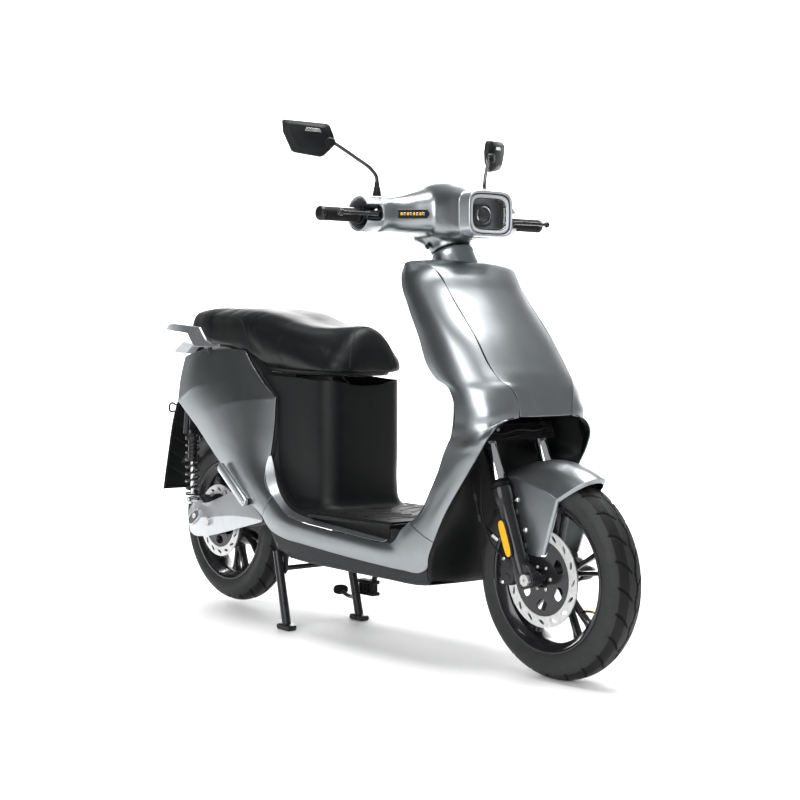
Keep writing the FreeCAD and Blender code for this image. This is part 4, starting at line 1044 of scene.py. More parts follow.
# ---- fork ----
def fork_leg(side, name):
    """Cast lower leg: seal collar, tapering shell, axle lug, web and two bosses."""
    y = side * 80
    start, end = leg_point(-26, y), leg_point(240, y)
    shape = [(0, 8), (3, 15), (10, 18), (40, 19), (130, 18.6), (192, 19), (202, 21.5), (210, 23), (232, 23),
             (236, 22), (238, 19), (240, 17.2)]
    turned(f"fork_leg_{name}_shell", shape, start, end, FRAME_STEEL, "fork_lower", 48, 30)
    turned(f"fork_leg_{name}_seal", [(0, 22), (2, 22.6), (4, 21.5), (8, 22.4), (12, 20), (15, 18.2),
                                     (17, 17)],
           leg_point(212, y), leg_point(240, y), RUBBER, "fork_lower", 48, 30)
    lug = [(-17, 13), (-16, 16.5), (-12, 17.5), (12, 17.5), (16, 16.5), (17, 13)]
    turned(f"fork_leg_{name}_lug", lug, (0, y, TYRE_R), (0, y + 1, TYRE_R), FRAME_STEEL, "fork_lower", 40, 30)
    web = [(-52, TYRE_R + 26), (-24, TYRE_R + 34), (6, TYRE_R + 12), (6, TYRE_R - 12), (-22, TYRE_R - 20),
           (-44, TYRE_R - 14)]
    plate(f"fork_leg_{name}_web", [web], y - 11, y + 11, FRAME_STEEL, "fork_lower", 2.5, 5)
    for i, s in enumerate((70, 150)):
        spot = leg_point(s, y - side * 16)
        ear = tuple(a + b for a, b in zip(spot, (14, -side * 4, 4)))
        rod(f"fork_leg_{name}_boss_{i}", spot, ear, 7, FRAME_STEEL, "fork_lower")


def fork_reflector(side, name):
    """Long amber reflector in a black frame on the leg's outer side."""
    path = [leg_point(s, side * 104.5) for s in (56, 130)]
    middle = [(a + b) / 2 for a, b in zip(*path)]
    parts = (("frame", 11.4, 43.5, 3.4, SHELL), ("lens", 9.6, 41.5, 5.6, AMBER))
    for part, half_w, half_l, thick, mat in parts:
        rings = []
        for depth, shrink in ((-3.0, 0), (thick - 2.2, 0), (thick - 1, 1.2)):
            ring = []
            for u, v in superellipse(half_w - shrink, half_l - shrink, 3.5, 40):
                ring.append((middle[0] + u * math.cos(RAKE) - v * math.sin(RAKE), side * (104.5 + depth),
                             middle[2] + u * math.sin(RAKE) + v * math.cos(RAKE)))
            rings.append(ring)
        loft(f"fork_reflector_{name}_{part}", rings, mat, "fork_lower", 0.3, 40)


def fork():
    """Both legs with their reflectors and axle nuts, and what hangs on the fork."""
    for side, name in SIDES:
        fork_leg(side, name)
        fork_reflector(side, name)
        axle_nut(f"front_axle_{name}", 0, side * 108, TYRE_R, "fork_lower")
    brake_hose()
    steering_details()


def brake_hose():
    """Hose from the yoke to the caliper, a thinner cable and clips."""
    points = [(-190, -112, 545), (-184, -113, 520), (-165, -118, 470), (-150, -116, 410), (-140, -106, 350),
              (-118, -84, 316)]
    hose = spring_mesh("brake_hose_skin", spline(points, 8), 3.2, RUBBER)
    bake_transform(hose)
    points = [(-168, -112, 540), (-140, -112, 462), (-128, -112, 357), (-108, -106, 306), (-84, -92, 276)]
    second = spring_mesh("speed_cable_skin", spline(points, 8), 2.4, RUBBER)
    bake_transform(second)
    for i, (x, y, z) in enumerate(((-151, -116, 414), (-143, -110, 366))):
        rod(f"hose_clip_{i}", (x, y, z), (x + 2, y + 1, z - 14), 5, FRAME_STEEL, "fork_lower")
    rod("hose_ferrule", (-124, -88, 322), (-112, -80, 310), 5.5, ZINC, "fork_lower")


def steering_details():
    """Pinch bolts and cable guides on the yoke."""
    for side, name in SIDES:
        turned(f"yoke_clamp_{name}", [(0, 24), (2, 26), (34, 26), (36, 24)], leg_point(322, side * 80),
               leg_point(360, side * 80), FRAME_STEEL, "steering", 40)
        spot = leg_point(342, side * 80)
        place = (spot[0] + 24, spot[1] - side * 12, spot[2] + 8)
        bolt(f"yoke_bolt_{name}", place, (10, 0, 2), 5, ZINC, "steering")
    tube("yoke_cable", [(-130, -96, 556), (-118, -70, 552), (-112, -20, 560), (-118, 40, 556),
                        (-130, 84, 562)],
         3, RUBBER, "steering", 8, 10)
    tube("yoke_cable_lower", [(-150, -108, 560), (-128, -88, 540), (-120, -40, 543), (-128, 20, 547)],
         2.4, RUBBER, "steering", 8, 10)


# ---- headset ----
def headset():
    """Lamp nose, two arms and the neck's flare blended into one skin."""
    nose = []
    for x, half, z, tall, power in ((-258, 69, 1060, 55, 4.8), (-270, 71, 1061, 57, 4.5),
                                    (-288, 75, 1063, 62, 3.8), (-318, 80, 1067, 67, 3.1),
                                    (-352, 85, 1072, 71, 2.7), (-400, 88, 1076, 70, 2.4),
                                    (-448, 80, 1074, 60, 2.4), (-472, 62, 1070, 46, 2.4)):
        nose.append([(x, u, z + v) for u, v in superellipse(half, tall, power, 48)])
    arm = [(-193, -428, 36, 1061, 39), (-186, -427, 39, 1061, 41), (-150, -425, 40, 1062, 42),
           (-122, -419, 50, 1064, 45), (-96, -410, 64, 1067, 50), (-62, -400, 82, 1071, 58),
           (0, -396, 84, 1075, 64)]
    arm += [(-y, x, a, z, b) for y, x, a, z, b in arm[-2::-1]]
    arms = [[(x + u, y, z + v) for u, v in superellipse(a, b, 2.5, 40)] for y, x, a, z, b in arm]
    flare = [neck_ring(s, back, r) for s, back, r in ((807, 20, 51), (816, 20, 50.5), (832, 24, 54),
                                                      (848, 30, 63), (864, 36, 76))]
    skin = loft("headset_skin", smooth_rings(nose, 3, 1), PAINT, "steering")
    merged = bmesh.new()
    merged.from_mesh(skin.data)
    for name, rings in (("arms", arms), ("flare", flare)):
        other = loft(f"headset_{name}", smooth_rings(rings, 4, 1), PAINT, "steering")
        merged.from_mesh(other.data)
        bpy.data.objects.remove(other)
    merged.to_mesh(skin.data)
    merged.free()
    blend_skin(skin, 0.003, 18)
    x, y, z = neck_point(825, -39, -52)
    rod("neck_cap", (x, y, z), (x - 3, y - 6, z), 8, SHELL, "steering", 1.5)
    rod("neck_cap_screw", (x - 3, y - 5.5, z), (x - 4, y - 8, z), 4.2, BLACK, "steering", 0.8)


def neck_point(s, u, y):
    """A point by its distance up the steering axis, forwards of the axis, and to the left."""
    x, _, z = stem_point(s)
    return (x + u * math.cos(RAKE), y, z + u * math.sin(RAKE))


def neck_ring(s, back, r, count=48):
    """A circle square to the steering axis and behind it."""
    ring = []
    for i in range(count):
        angle = 2 * math.pi * i / count
        ring.append(neck_point(s, -back + r * math.cos(angle), r * math.sin(angle)))
    return ring


def blend_skin(obj, size, rounds):
    """Remeshes overlapping shapes as one skin and smooths where they meet."""
    shell = obj.modifiers.new("remesh", "REMESH")
    shell.mode = "VOXEL"
    shell.voxel_size = size
    soft = obj.modifiers.new("soft", "SMOOTH")
    soft.factor = 0.6
    soft.iterations = rounds
    apply_all(obj)
    obj.data.shade_smooth()


def collar():
    """Light collar that rises from the shield's top round the steering neck."""
    rings = []
    for s, back, r in ((734, 14, 62), (752, 17, 57), (770, 19, 53.5), (788, 20, 51.5), (801, 20, 51),
                       (803, 20, 49), (800, 20, 47)):
        ring = neck_ring(s, back, r)
        rings.append(ring + ring[:1])
    sheet("neck_collar", surface(rings, 3, 1), 2, PAINT, "chassis", stem_point(700), 0, 0.5)
    core = [neck_ring(s, 20, 46) for s in (745, 806)]
    loft("neck_core", core, RUBBER, "chassis", 0.5, 40)


LAMP_Y, LAMP_Z, LAMP_CENTRE = 68, 52.5, 1060


def lamp_frame(name, x0, x1, inwards, wall, power, mat, bevel=1.0):
    """A rounded-rectangle ring round the headlamp, so far inside its outer edge."""
    count = 64
    rings = []
    for x, step in ((x0, 0), (x1, 0), (x1, wall), (x0, wall)):
        edge = superellipse(LAMP_Y - inwards - step, LAMP_Z - inwards - step, power, count)
        rings.append([(x, u, LAMP_CENTRE + v) for u, v in edge])
    verts = [p for ring in rings for p in ring]
    faces = []
    for j in range(4):
        near, far = j * count, ((j + 1) % 4) * count
        for i in range(count):
            ahead = (i + 1) % count
            faces.append((near + i, near + ahead, far + ahead, far + i))
    return solid(name, verts, faces, mat, "steering", bevel, 40)


def headlamp():
    """Silver rim, a dark gap, the light ring, and a deep dark well with a square projector."""
    lamp_frame("bezel_outer", -264, -226, -1, 5.4, 4.6, BRIGHT, 2.2)
    lamp_frame("bezel_gap", -256, -233, 4.6, 2.6, 4.6, SHELL, 0.6)
    lamp_frame("led_ring", -252, -229.5, 7.0, 6.0, 4.4, LED, 2.2)
    lamp_frame("lamp_inner_rim", -252, -232, 12.8, 2.4, 4.2, CHROME, 0.8)
    lamp_frame("lamp_tub", -292, -236, 15, 2.2, 4, BLACK, 0.6)
    back = [[(x, u, LAMP_CENTRE + v) for u, v in superellipse(53, 37.5, 4, 48)] for x in (-293, -290)]
    loft("lamp_back", back, BLACK, "steering", 0.4)
    housing = [[(x, u - 5, LAMP_CENTRE - 2 + v) for u, v in superellipse(half, half * 0.97, 3.6, 40)]
               for x, half in ((-291, 27), (-256, 26), (-250, 25), (-248, 22))]
    loft("projector_housing", housing, SHELL, "steering", 0.5)
    middle = (-254, -5, LAMP_CENTRE - 2)
    ahead = (-200, -5, LAMP_CENTRE - 2)
    eye = [(0, 18), (3, 17.8), (6, 15.6), (9, 11.6), (11, 7), (11.8, 2)]
    turned("projector_lens", eye, middle, ahead, GLASS, "steering", 48, 60)
    turned("projector_ring", [(0, 18.2), (7.4, 18.2), (8.2, 19.6), (6.4, 20.8), (0, 20.8), (0, 18.2)], middle,
           ahead, CHROME, "steering", 48)
    turned("projector_mirror", [(0, 16), (1, 15.6), (1.6, 8)], middle, ahead, CHROME, "steering", 48)
    for i in range(4):
        z = LAMP_CENTRE - 27 + i * 18
        box(f"lamp_fin_{i}", (-290, -262), (24, 50), (z - 1, z + 1), BLACK, "steering", 0.4)
    front = []
    for x, shrink in ((-238.5, 0), (-236.5, 0.6), (-235.3, 3)):
        edge = superellipse(LAMP_Y - 13.4 - shrink, LAMP_Z - 13.4 - shrink, 4.2, 64)
        front.append([(x, u, LAMP_CENTRE + v) for u, v in edge])
    loft("headlamp_glass", front, GLASS, "steering", 0.4)


def indicator(side, name):
    """Front turn lamp let into the arm: a dark frame and a row of amber and clear diodes."""
    turn = Matrix.Rotation(math.radians(side * 38), 3, "Z")
    centre = Vector((-371, side * 119, 1062))

    def place(u, v, out):
        along = turn @ Vector((out, side * u, v))
        return tuple(centre + along)

    def bar(part, half_l, half_h, out, mat, bevel):
        point = half_h * 0.6
        shape = [(-half_l, 0), (-half_l + point, -half_h), (half_l - 4, -half_h), (half_l, -half_h + 4),
                 (half_l, half_h - 4), (half_l - 4, half_h), (-half_l + point, half_h)]
        loft(f"indicator_{name}_{part}", [[place(u, v, o) for u, v in shape] for o in out], mat, "steering",
             bevel)

    bar("frame", 40, 11, (-14, 9.0), SHELL, 1.8)
    bar("tray", 34, 6.6, (8.4, 9.5), BLACK, 0.3)
    for i in range(8):
        u = -25 + i * 7.4
        corners = ((-2.6, -3.4), (2.6, -3.4), (2.6, 3.4), (-2.6, 3.4))
        cell = [[place(u + a, b, out) for a, b in corners] for out in (9, 10.6)]
        loft(f"indicator_{name}_diode_{i}", cell, AMBER if i % 2 else CHROME, "steering", 0.5)


def dash():
    """Small display on top of the headset behind the lamp."""
    rows = [[(-474, u, 1113 + v) for u, v in superellipse(52, 6, 4, 40)],
            [(-444, u, 1121 + v) for u, v in superellipse(52, 6, 4, 40)]]
    loft("dash_display_case", rows, SHELL, "steering", 1.2)
    glass = [[(x, y, z) for y in (-44, 0, 44)] for x, z in ((-470, 1120.4), (-448, 1126.3))]
    sheet("dash_display_glass", surface(glass, 4, 4), 1, GLASS, "steering", (-460, 0, 1000), 0, 0.3)


def bar_shroud(side, name):
    """Silver sleeve at the arm's end with a rounded window at the front for the lever."""
    rings, count = 14, 72
    grid = []
    for j in range(rings + 1):
        y = 188 + 50 * j / rings
        flare = 42.4 + 1.6 * math.sin(math.pi * j / rings)
        row = []
        for i in range(count + 1):
            angle = 2 * math.pi * i / count
            row.append((BAR_X + flare * math.cos(angle), side * y,
                        BAR_Z + 4 + flare * 0.98 * math.sin(angle)))
        grid.append(row)
    verts = [p for row in grid for p in row[:-1]]
    faces = []
    for j in range(rings):
        for i in range(count):
            angle = (360 * (i + 0.5) / count + 180) % 360 - 180
            reach = 26 - max(0, 4 - j) ** 2 * 1.1
            if j >= 2 and -reach < angle < reach + 4:
                continue
            if j >= 3 and (angle > 156 or angle < -156):
                continue
            a, b = j * count + i, j * count + (i + 1) % count
            faces.append((a, b, b + count, a + count))
    mesh = bpy.data.meshes.new(f"bar_shroud_{name}")
    mesh.from_pydata([at(*v) for v in verts], [], faces)
    if side < 0:
        mesh.flip_normals()
    obj = add(f"bar_shroud_{name}", mesh, BRIGHT, "steering", 50)
    round_off = obj.modifiers.new("round", "SMOOTH")
    round_off.iterations = 2
    wall = obj.modifiers.new("wall", "SOLIDIFY")
    wall.thickness = 0.0045
    wall.offset = 1
    soften(obj, 1.2, 2, 50)
    cap = circle(BAR_X, BAR_Z + 4, 39, 48)
    plate(f"bar_shroud_{name}_wall", [cap], side * 193, side * 196, SHELL, "steering", 0.8)


def control_pod(side, name):
    """Switch housing, master cylinder and the lever's perch."""
    start = (BAR_X, side * 200, BAR_Z)
    pod = [(0, 18), (1.5, 21), (4, 22), (32, 22), (34.5, 21), (36, 18)]
    turned(f"pod_{name}_case", pod, start, (BAR_X, side * 236, BAR_Z), BLACK, "steering", 48)
    turned(f"pod_{name}_joint", [(17.4, 21.4), (17.6, 22.2), (18.4, 22.2), (18.6, 21.4)], start,
           (BAR_X, side * 236, BAR_Z), RUBBER, "steering", 48)
    y = sorted((side * 201, side * 231))
    box(f"pod_{name}_cylinder", (-421, -403.5), y, (BAR_Z - 9.5, BAR_Z + 11.5), CALIPER, "steering", 3)
    for part, z in (("top", (BAR_Z + 5.3, BAR_Z + 10)), ("bottom", (BAR_Z - 10, BAR_Z - 5.3))):
        ring = [(-403, 203), (-386, 205), (-383.5, 214), (-386, 223), (-403, 226)]
        rows = [[(x, side * py, pz) for x, py in ring] for pz in z]
        loft(f"pod_{name}_perch_{part}", rows, CALIPER, "steering", 1.2)
    bolt(f"pod_{name}_pivot", (-392, side * 214, BAR_Z + 9.8), (0, 0, 10), 5, ZINC, "steering")
    for i, dy in enumerate((207, 225)):
        bolt(f"pod_{name}_screw_{i}", (-403.4, side * dy, BAR_Z + 7), (10, 0, 0), 3, ZINC, "steering")
    face_y = sorted((side * 204, side * 232))
    box(f"pod_{name}_face", (-457, -449), face_y, (BAR_Z - 13, BAR_Z + 17), BLACK, "steering", 3)


def brake_lever(side, name):
    """Forged lever with a ball end."""
    body = f"brake_lever_{name}"
    turned(f"lever_{name}_hub", [(0, 6.5), (1, 8), (9, 8), (10, 6.5)], (-392, side * 214, BAR_Z - 5),
           (-392, side * 214, BAR_Z + 5), BAR_STEEL, body, 32)
    rings = []
    for x, y, half_x, half_z in ((-386, 214, 6, 4.4), (-379, 226, 7.5, 4.4), (-374, 244, 7, 4.4),
                                 (-374, 268, 6, 4.3), (-375, 292, 5.5, 4.2), (-376.5, 312, 5, 4),
                                 (-377, 325, 5, 4)):
        rings.append([(x + u, side * y, BAR_Z + v) for u, v in superellipse(half_x, half_z, 2.8, 20)])
    loft(f"lever_{name}_blade", smooth_rings(rings, 4, 1), BAR_STEEL, body, 0, 50)
    ball(f"lever_{name}_ball", 8, (-377, side * 320, BAR_Z), (-377, side * 336, BAR_Z), body)


def grip(side, name, body):
    """Ribbed rubber grip with a flange inside and a weighted end."""
    profile = [(0, 12), (0, 18.5), (2, 19.2), (5, 18.8), (6.5, 16)]
    for i in range(22):
        start = 9 + i * 4
        profile += [(start, 15.9), (start + 0.9, 16.35), (start + 2.6, 16.35), (start + 3.5, 15.9)]
    profile += [(97, 16.2), (100, 15.6), (100.5, 12)]
    turned(f"grip_{name}", profile, (BAR_X, side * 240, BAR_Z), (BAR_X, side * 345, BAR_Z), RUBBER, body, 48,
           25)
    end = [(0, 11), (0.5, 16), (2, 17), (8, 17), (10, 15.8), (12.5, 11), (12.5, 4)]
    turned(f"bar_end_{name}", end, (BAR_X, side * 341, BAR_Z), (BAR_X, side * 360, BAR_Z), BAR_STEEL,
           "steering", 40)


# ---- mirrors ----
def mirror(side, name):
    """Rubber boot, bent stem, ball joint, and a head with its pane, socket and a small plate."""
    x, y, z = MIRROR_BASE
    jx, jy, jz = MIRROR_JOINT
    stem_body, head_body = f"mirror_stem_{name}", f"mirror_head_{name}"
    boot = [(0, 10), (3, 10.5), (12, 9.4), (14, 8.2), (20, 8), (22, 6.6), (30, 6), (34, 5.2)]
    turned(f"mirror_boot_{name}", boot, (x, side * y, z + 0.3), (x, side * y, z + 40), RUBBER, stem_body, 32)
    arm = [(x - back, side * (y + out), z + up) for back, out, up in ((0, 0, 28), (1, 1, 46), (8, 9, 62),
                                                                      (34, 38, 92))]
    tube(f"mirror_arm_{name}", arm + [(jx, side * jy, jz)], 4.6, BAR_STEEL, stem_body, 10, 16)
    ball(f"mirror_ball_{name}", 9, (jx, side * jy, jz - 9), (jx, side * jy, jz + 9), stem_body)
    sweep = Matrix.Rotation(math.radians(30), 3, "Z")

    def place(dx, dy, dz):
        p = sweep @ Vector((dx, dy, dz))
        return (jx + p.x, side * (jy + p.y), jz + p.z)

    outline = [(-2, -14), (19, -34), (27, -37), (90, -27), (97, -23), (117, 22), (119, 48), (114, 51),
               (12, 43), (4, 38), (-6, 12)]
    rings = []
    for dx, shrink in ((-13, 3), (-11, 0.5), (-4, 0), (1, 1.5), (9, 15), (10.5, 18)):
        ring = []
        for oy, oz in outline:
            lean = Vector((58 - oy, 6 - oz))
            size = lean.length
            lean = lean / size * min(shrink, size * 0.8)
            ring.append(place(dx, oy + lean.x, oz + lean.y))
        rings.append(ring)
    loft(f"mirror_shell_{name}", rings, BLACK, head_body, 1.4, 32)
    pane = []
    for dx in (-12, -13.8):
        pane.append([place(dx, 58 + (oy - 58) * 0.93, 6 + (oz - 6) * 0.9) for oy, oz in outline])
    loft(f"mirror_pane_{name}", pane, MIRROR, head_body, 0.3)
    badge = [[place(dx, oy, oz) for oy, oz in ((26, 20), (66, 23), (62, 31), (30, 28))] for dx in (8, 11.4)]
    loft(f"mirror_pad_{name}", badge, ZINC, head_body, 0.8)
    turned(f"mirror_socket_{name}", [(0, 13), (5, 12.2), (8, 9)], place(5, 6, -3), place(20, 6, -3), BLACK,
           head_body, 32)


# ---- rear ----
def grab_rail():
    """Broad flat-sided rail: two blades that step up from their feet and a bar across behind the seat."""
    stations = [((-1163, 752), (-1168, 746), 150, 4), ((-1198, 753), (-1208, 745), 151, 6),
                ((-1229, 765), (-1281, 746), 152, 8), ((-1246, 783), (-1302, 765), 152, 8),
                ((-1262, 800), (-1318, 783), 151, 8), ((-1330, 806), (-1350, 786), 150, 8),
                ((-1402, 811), (-1424, 792), 146, 8), ((-1456, 811), (-1468, 794), 130, 8),
                ((-1480, 809), (-1489, 794), 104, 8), ((-1487, 808), (-1496, 794), 60, 8),
                ((-1488, 808), (-1497, 794), 0, 8)]
    stations += [(top, low, -y, t) for top, low, y, t in stations[-2::-1]]
    rings = []
    for i, (top, low, y, thick) in enumerate(stations):
        before, after = stations[max(i - 1, 0)], stations[min(i + 1, len(stations) - 1)]
        along = Vector((after[0][0] - before[0][0], after[2] - before[2])).normalized()
        out = Vector((along.y, -along.x)) * thick
        ring = []
        for (x, z), share in ((top, -0.5), (top, 0.35), (low, 1.0), (low, -1.0)):
            ring.append((x - out.x * share, y - out.y * share, z))
        rings.append(ring)
    loft("grab_rail_skin", rings, BRIGHT, "chassis", 2.4, 20)


def rear_lights():
    """Wedge-shaped clear tail lamp between two turn lamps, on a bracket under the grab rail."""
    wedge = [(-1390, 751), (-1444, 760), (-1494, 736), (-1489, 727), (-1430, 725)]
    parts = (("tail_lamp", -60, 60), ("rear_turn_lamp_left", 65, 95), ("rear_turn_lamp_right", -95, -65))
    for name, y0, y1 in parts:
        plate(f"{name}_lens", [wedge], y0, y1, LED, "chassis", 2.5)
        for i in range(3):
            x = -1482 + i * 22
            z = 733 + i * 8.5
            box(f"{name}_line_{i}", (x - 1.5, x + 1.5), (y0 + 3, y1 - 3), (z - 7, z + 8.5), SHELL, "chassis",
                0.6)
    shape = [(-1440, 716), (-1436, 733), (-1405, 748), (-1340, 722), (-1330, 690), (-1410, 700)]
    plate("tail_bracket", [shape], -62, 62, BLACK, "chassis", 3, 0)


def rear_mudguard():
    """Ribbed number-plate flap with a rim, a hugger over the tyre and a small helmet loop."""
    path = [(-1334, 676), (-1400, 690), (-1452, 692), (-1474, 664), (-1486, 610), (-1502, 555), (-1532, 440),
            (-1561, 324)]
    half = [70, 74, 76, 76, 80, 90, 94, 95]
    rows = []
    for (x, z), w in zip(path, half):
        rows.append([(x, w, z), (x, w * 0.5, z), (x, 0, z), (x, -w * 0.5, z), (x, -w, z)])
    sheet("plate_flap", surface(rows, 6, 4), 3, BLACK, "chassis", (-1300, 0, 300), 0, 0.8)
    for side, name in SIDES:
        rim_path = [(x + 2, side * (w - 3), z) for (x, z), w in zip(path[4:], half[4:])]
        tube(f"plate_flap_edge_{name}", rim_path, 3.4, BLACK, "chassis", 5, 10)
        for i in range(4):
            z = 366 + i * 44
            x = -1561 + (z - 324) * 0.253 + 2
            rib = [(x - 3, side * 12, z - 12), (x + 2, side * 46, z + 8), (x + 7, side * 82, z + 28)]
            tube(f"plate_flap_rib_{name}_{i}", rib, 3.2, BLACK, "chassis", 4, 8)
    tube("plate_flap_bottom", [(-1559, -92, 327), (-1559, 0, 326), (-1559, 92, 327)], 3.4, BLACK, "chassis",
         6, 10)
    loop = [(-1496, -88, 574), (-1508, -94, 580), (-1524, -94, 570), (-1520, -94, 556), (-1504, -90, 556)]
    tube("helmet_loop", loop, 3, BLACK, "chassis", 8, 10)
    arch = []
    for angle in (60, 80, 100, 120, 140):
        a = math.radians(angle)
        x, z = REAR_AXLE[0] + FENDER_R * math.cos(a), REAR_AXLE[1] + FENDER_R * math.sin(a)
        arch.append([(x, y, z - abs(y) * 0.22) for y in (70, 36, 0, -36, -70)])
    sheet("rear_hugger", surface(arch, 6, 4), 3, BLACK, "swingarm", (-1300, 0, 200), 0, 0.8)


def swingarm_cover(side, name):
    """Silver cover on the arm's outer face, with a raised upper plane and a swept lower one."""
    top = [(-1036, 97, 281), (-1092, 99, 319), (-1172, 100, 348), (-1240, 100, 324), (-1300, 100, 305),
           (-1328, 100, 300), (-1366, 100, 326), (-1376, 99, 304), (-1404, 99, 282)]
    crease = [(-1037, 98, 276), (-1100, 102, 279), (-1172, 104, 278), (-1240, 105, 270), (-1300, 106, 262),
              (-1330, 106, 260), (-1362, 106, 262), (-1384, 105, 262), (-1414, 103, 258)]
    bottom = [(-1042, 97, 270), (-1100, 98, 256), (-1172, 99, 238), (-1240, 99, 222), (-1300, 99, 209),
              (-1330, 99, 205), (-1360, 99, 202), (-1384, 99, 203), (-1403, 99, 211)]
    for part, upper, lower in (("upper", top, crease), ("lower", crease, bottom)):
        middle = [tuple((a + b) / 2 for a, b in zip(p, q)) for p, q in zip(upper, lower)]
        sheet(f"swingarm_cover_{name}_{part}", for_side((upper, middle, lower), side), 3, BRIGHT, "swingarm",
              (-1200, 0, 260), 0, 0.8)
    lean = math.radians(33)
    for part, a, b, deep, mat in (("rim", 34, 15.5, 110, BRIGHT), ("hole", 30, 12, 111.2, SHELL),
                                  ("block", 9, 7.5, 113.5, ZINC)):
        ring = []
        for u, v in superellipse(a, b, 2.6, 36):
            shift = 8 if part == "block" else 0
            ring.append((-1368 + (u + shift) * math.cos(lean) - v * math.sin(lean),
                         258 + (u + shift) * math.sin(lean) + v * math.cos(lean)))
        plate(f"swingarm_slot_{name}_{part}", [ring], side * 101, side * deep, mat, "swingarm", 1.0)


def shock(side, name):
    """Damper body, chromed rod and a coil between its two seats."""
    y = side * SHOCK_Y
    top, low = Vector((SHOCK_TOP[0], y, SHOCK_TOP[1])), Vector((SHOCK_EYE[0], y, SHOCK_EYE[1]))
    along = (top - low).normalized()
    left = Vector((0, 1, 0))
    other = along.cross(left)
    turns, start, length = 7, 21, 148
    points = []
    for i in range(turns * 24 + 1):
        share = i / (turns * 24)
        a = 2 * math.pi * turns * share
        lift = start + length * (0.02 * min(share * 8, 1) + 0.96 * share)
        points.append(tuple(low + along * lift + (left * math.cos(a) + other * math.sin(a)) * 17.2))
    coil = spring_mesh(f"shock_coil_{name}", points, 3.3, SHOCK)
    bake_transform(coil)
    seat_low = low + along * 12
    turned(f"shock_seat_{name}", [(0, 19), (1.5, 20.8), (6.5, 20.8), (8, 19.5)], tuple(seat_low), tuple(top),
           SHOCK, "shock_rods", 40)
    cap = top - along * 26
    turned(f"shock_cap_{name}", [(0, 15), (1.5, 20.6), (9, 20.6), (11, 18), (13, 14)], tuple(cap),
           tuple(top + along), SHOCK, "shock_bodies", 40)
    bolt(f"shock_bolt_{name}", tuple(low + left * side * 12), (0, side * 10, 0), 8, ZINC, "swingarm")
    bolt(f"shock_top_bolt_{name}", (top.x, side * 134.5, top.z), (0, side * 10, 0), 8, ZINC, "shock_bodies")


def spring_mesh(name, points, r, mat):
    """A coil or hose that no body carries yet."""
    path = [at(*p) for p in points]
    verts = []
    count = 10
    for i, p in enumerate(path):
        ahead = (path[min(i + 1, len(path) - 1)] - path[max(i - 1, 0)]).normalized()
        across = ahead.cross(Vector((0, 1, 0.3))).normalized()
        other = ahead.cross(across)
        for k in range(count):
            a = 2 * math.pi * k / count
            verts.append(p + (across * math.cos(a) + other * math.sin(a)) * r / 1000)
    mesh = closed_mesh(name, verts, ring_faces(len(path), count))
    obj = bpy.data.objects.new(name, mesh)
    scene.collection.objects.link(obj)
    mesh.materials.append(mat)
    mesh.shade_smooth()
    return obj


# ---- stands and pegs ----
def centre_stand():
    """Two thick legs with rounded feet, a cross tube, a tang for the rider's foot and two springs."""
    turned("stand_sleeve", [(0, 9), (1, 11), (237, 11), (238, 9)], (-935, -119, 198), (-935, 119, 198),
           FRAME_STEEL, "center_stand", 32)
    for side, name in SIDES:
        tube(f"stand_leg_{name}", [(-937, side * 118, 204), (-888, side * 121, 6)], 12, FRAME_STEEL,
             "center_stand", 1,
             24)
        shape = [(-30, 14), (-31, 6), (-27, 0.3), (22, 0.3), (26, 6), (24, 14), (14, 17), (-20, 17)]
        plate(f"stand_foot_{name}", [[(-888 + x, z) for x, z in shape]], side * 107, side * 135, FRAME_STEEL,
              "center_stand", 4)
        gusset = [(-928, 206), (-906, 196), (-914, 150), (-926, 140)]
        plate(f"stand_gusset_{name}", [gusset], side * 100, side * 106, FRAME_STEEL, "center_stand", 1.5)
    rod("stand_cross_tube", (-926, -112, 158), (-926, 112, 158), 7, FRAME_STEEL, "center_stand")
    tube("stand_tang", [(-904, 122, 62), (-930, 134, 57), (-965, 142, 55), (-996, 142, 63)], 6, FRAME_STEEL,
         "center_stand", 6, 14)
    pad = [[(-1002 + u * 0.55 + d * 0.3, 142 + u, 68 + v) for u, v in superellipse(17 - g, 14 - g, 2.6, 24)]
           for d, g in ((-14, 3), (-10, 0), (10, 0), (14, 3))]
    loft("stand_tang_pad", pad, RUBBER, "center_stand", 0.5, 45)
    turns, steps = 14, 140
    for side, name in SIDES:
        start, end = (-950, side * 70, 200), (-880, side * 70, 236)
        coil = []
        for i in range(steps + 1):
            share = i / steps
            a = 2 * math.pi * turns * share
            coil.append((start[0] + (end[0] - start[0]) * share + 2 * math.cos(a),
                         start[1] + 7 * math.sin(a),
                         start[2] + (end[2] - start[2]) * share + 7 * math.cos(a)))
        tube(f"stand_spring_{name}", coil, 1.5, ZINC, "chassis", 1, 6)


def side_stand():
    """Folded side stand: a bent tube from its pivot to a foot made of two bars and short ribs."""
    turned("side_stand_hub", [(0, 6), (0.5, 13), (17.5, 13), (18, 6)], (-800, 133, 178), (-800, 152, 178),
           FRAME_STEEL, "side_stand", 32)
    tube("side_stand_leg", [(-806, 144, 174), (-836, 150, 150), (-862, 154, 118), (-880, 156, 88)], 8,
         FRAME_STEEL, "side_stand", 8, 18)
    for i, z in enumerate((70, 102)):
        box(f"side_stand_bar_{i}", (-926, -856), (140, 168), (z - 5, z + 6), RUBBER, "side_stand", 4)
    for i in range(4):
        x = -918 + i * 17
        box(f"side_stand_rib_{i}", (x - 3, x + 3), (143, 165), (72, 101), RUBBER, "side_stand", 1.2)


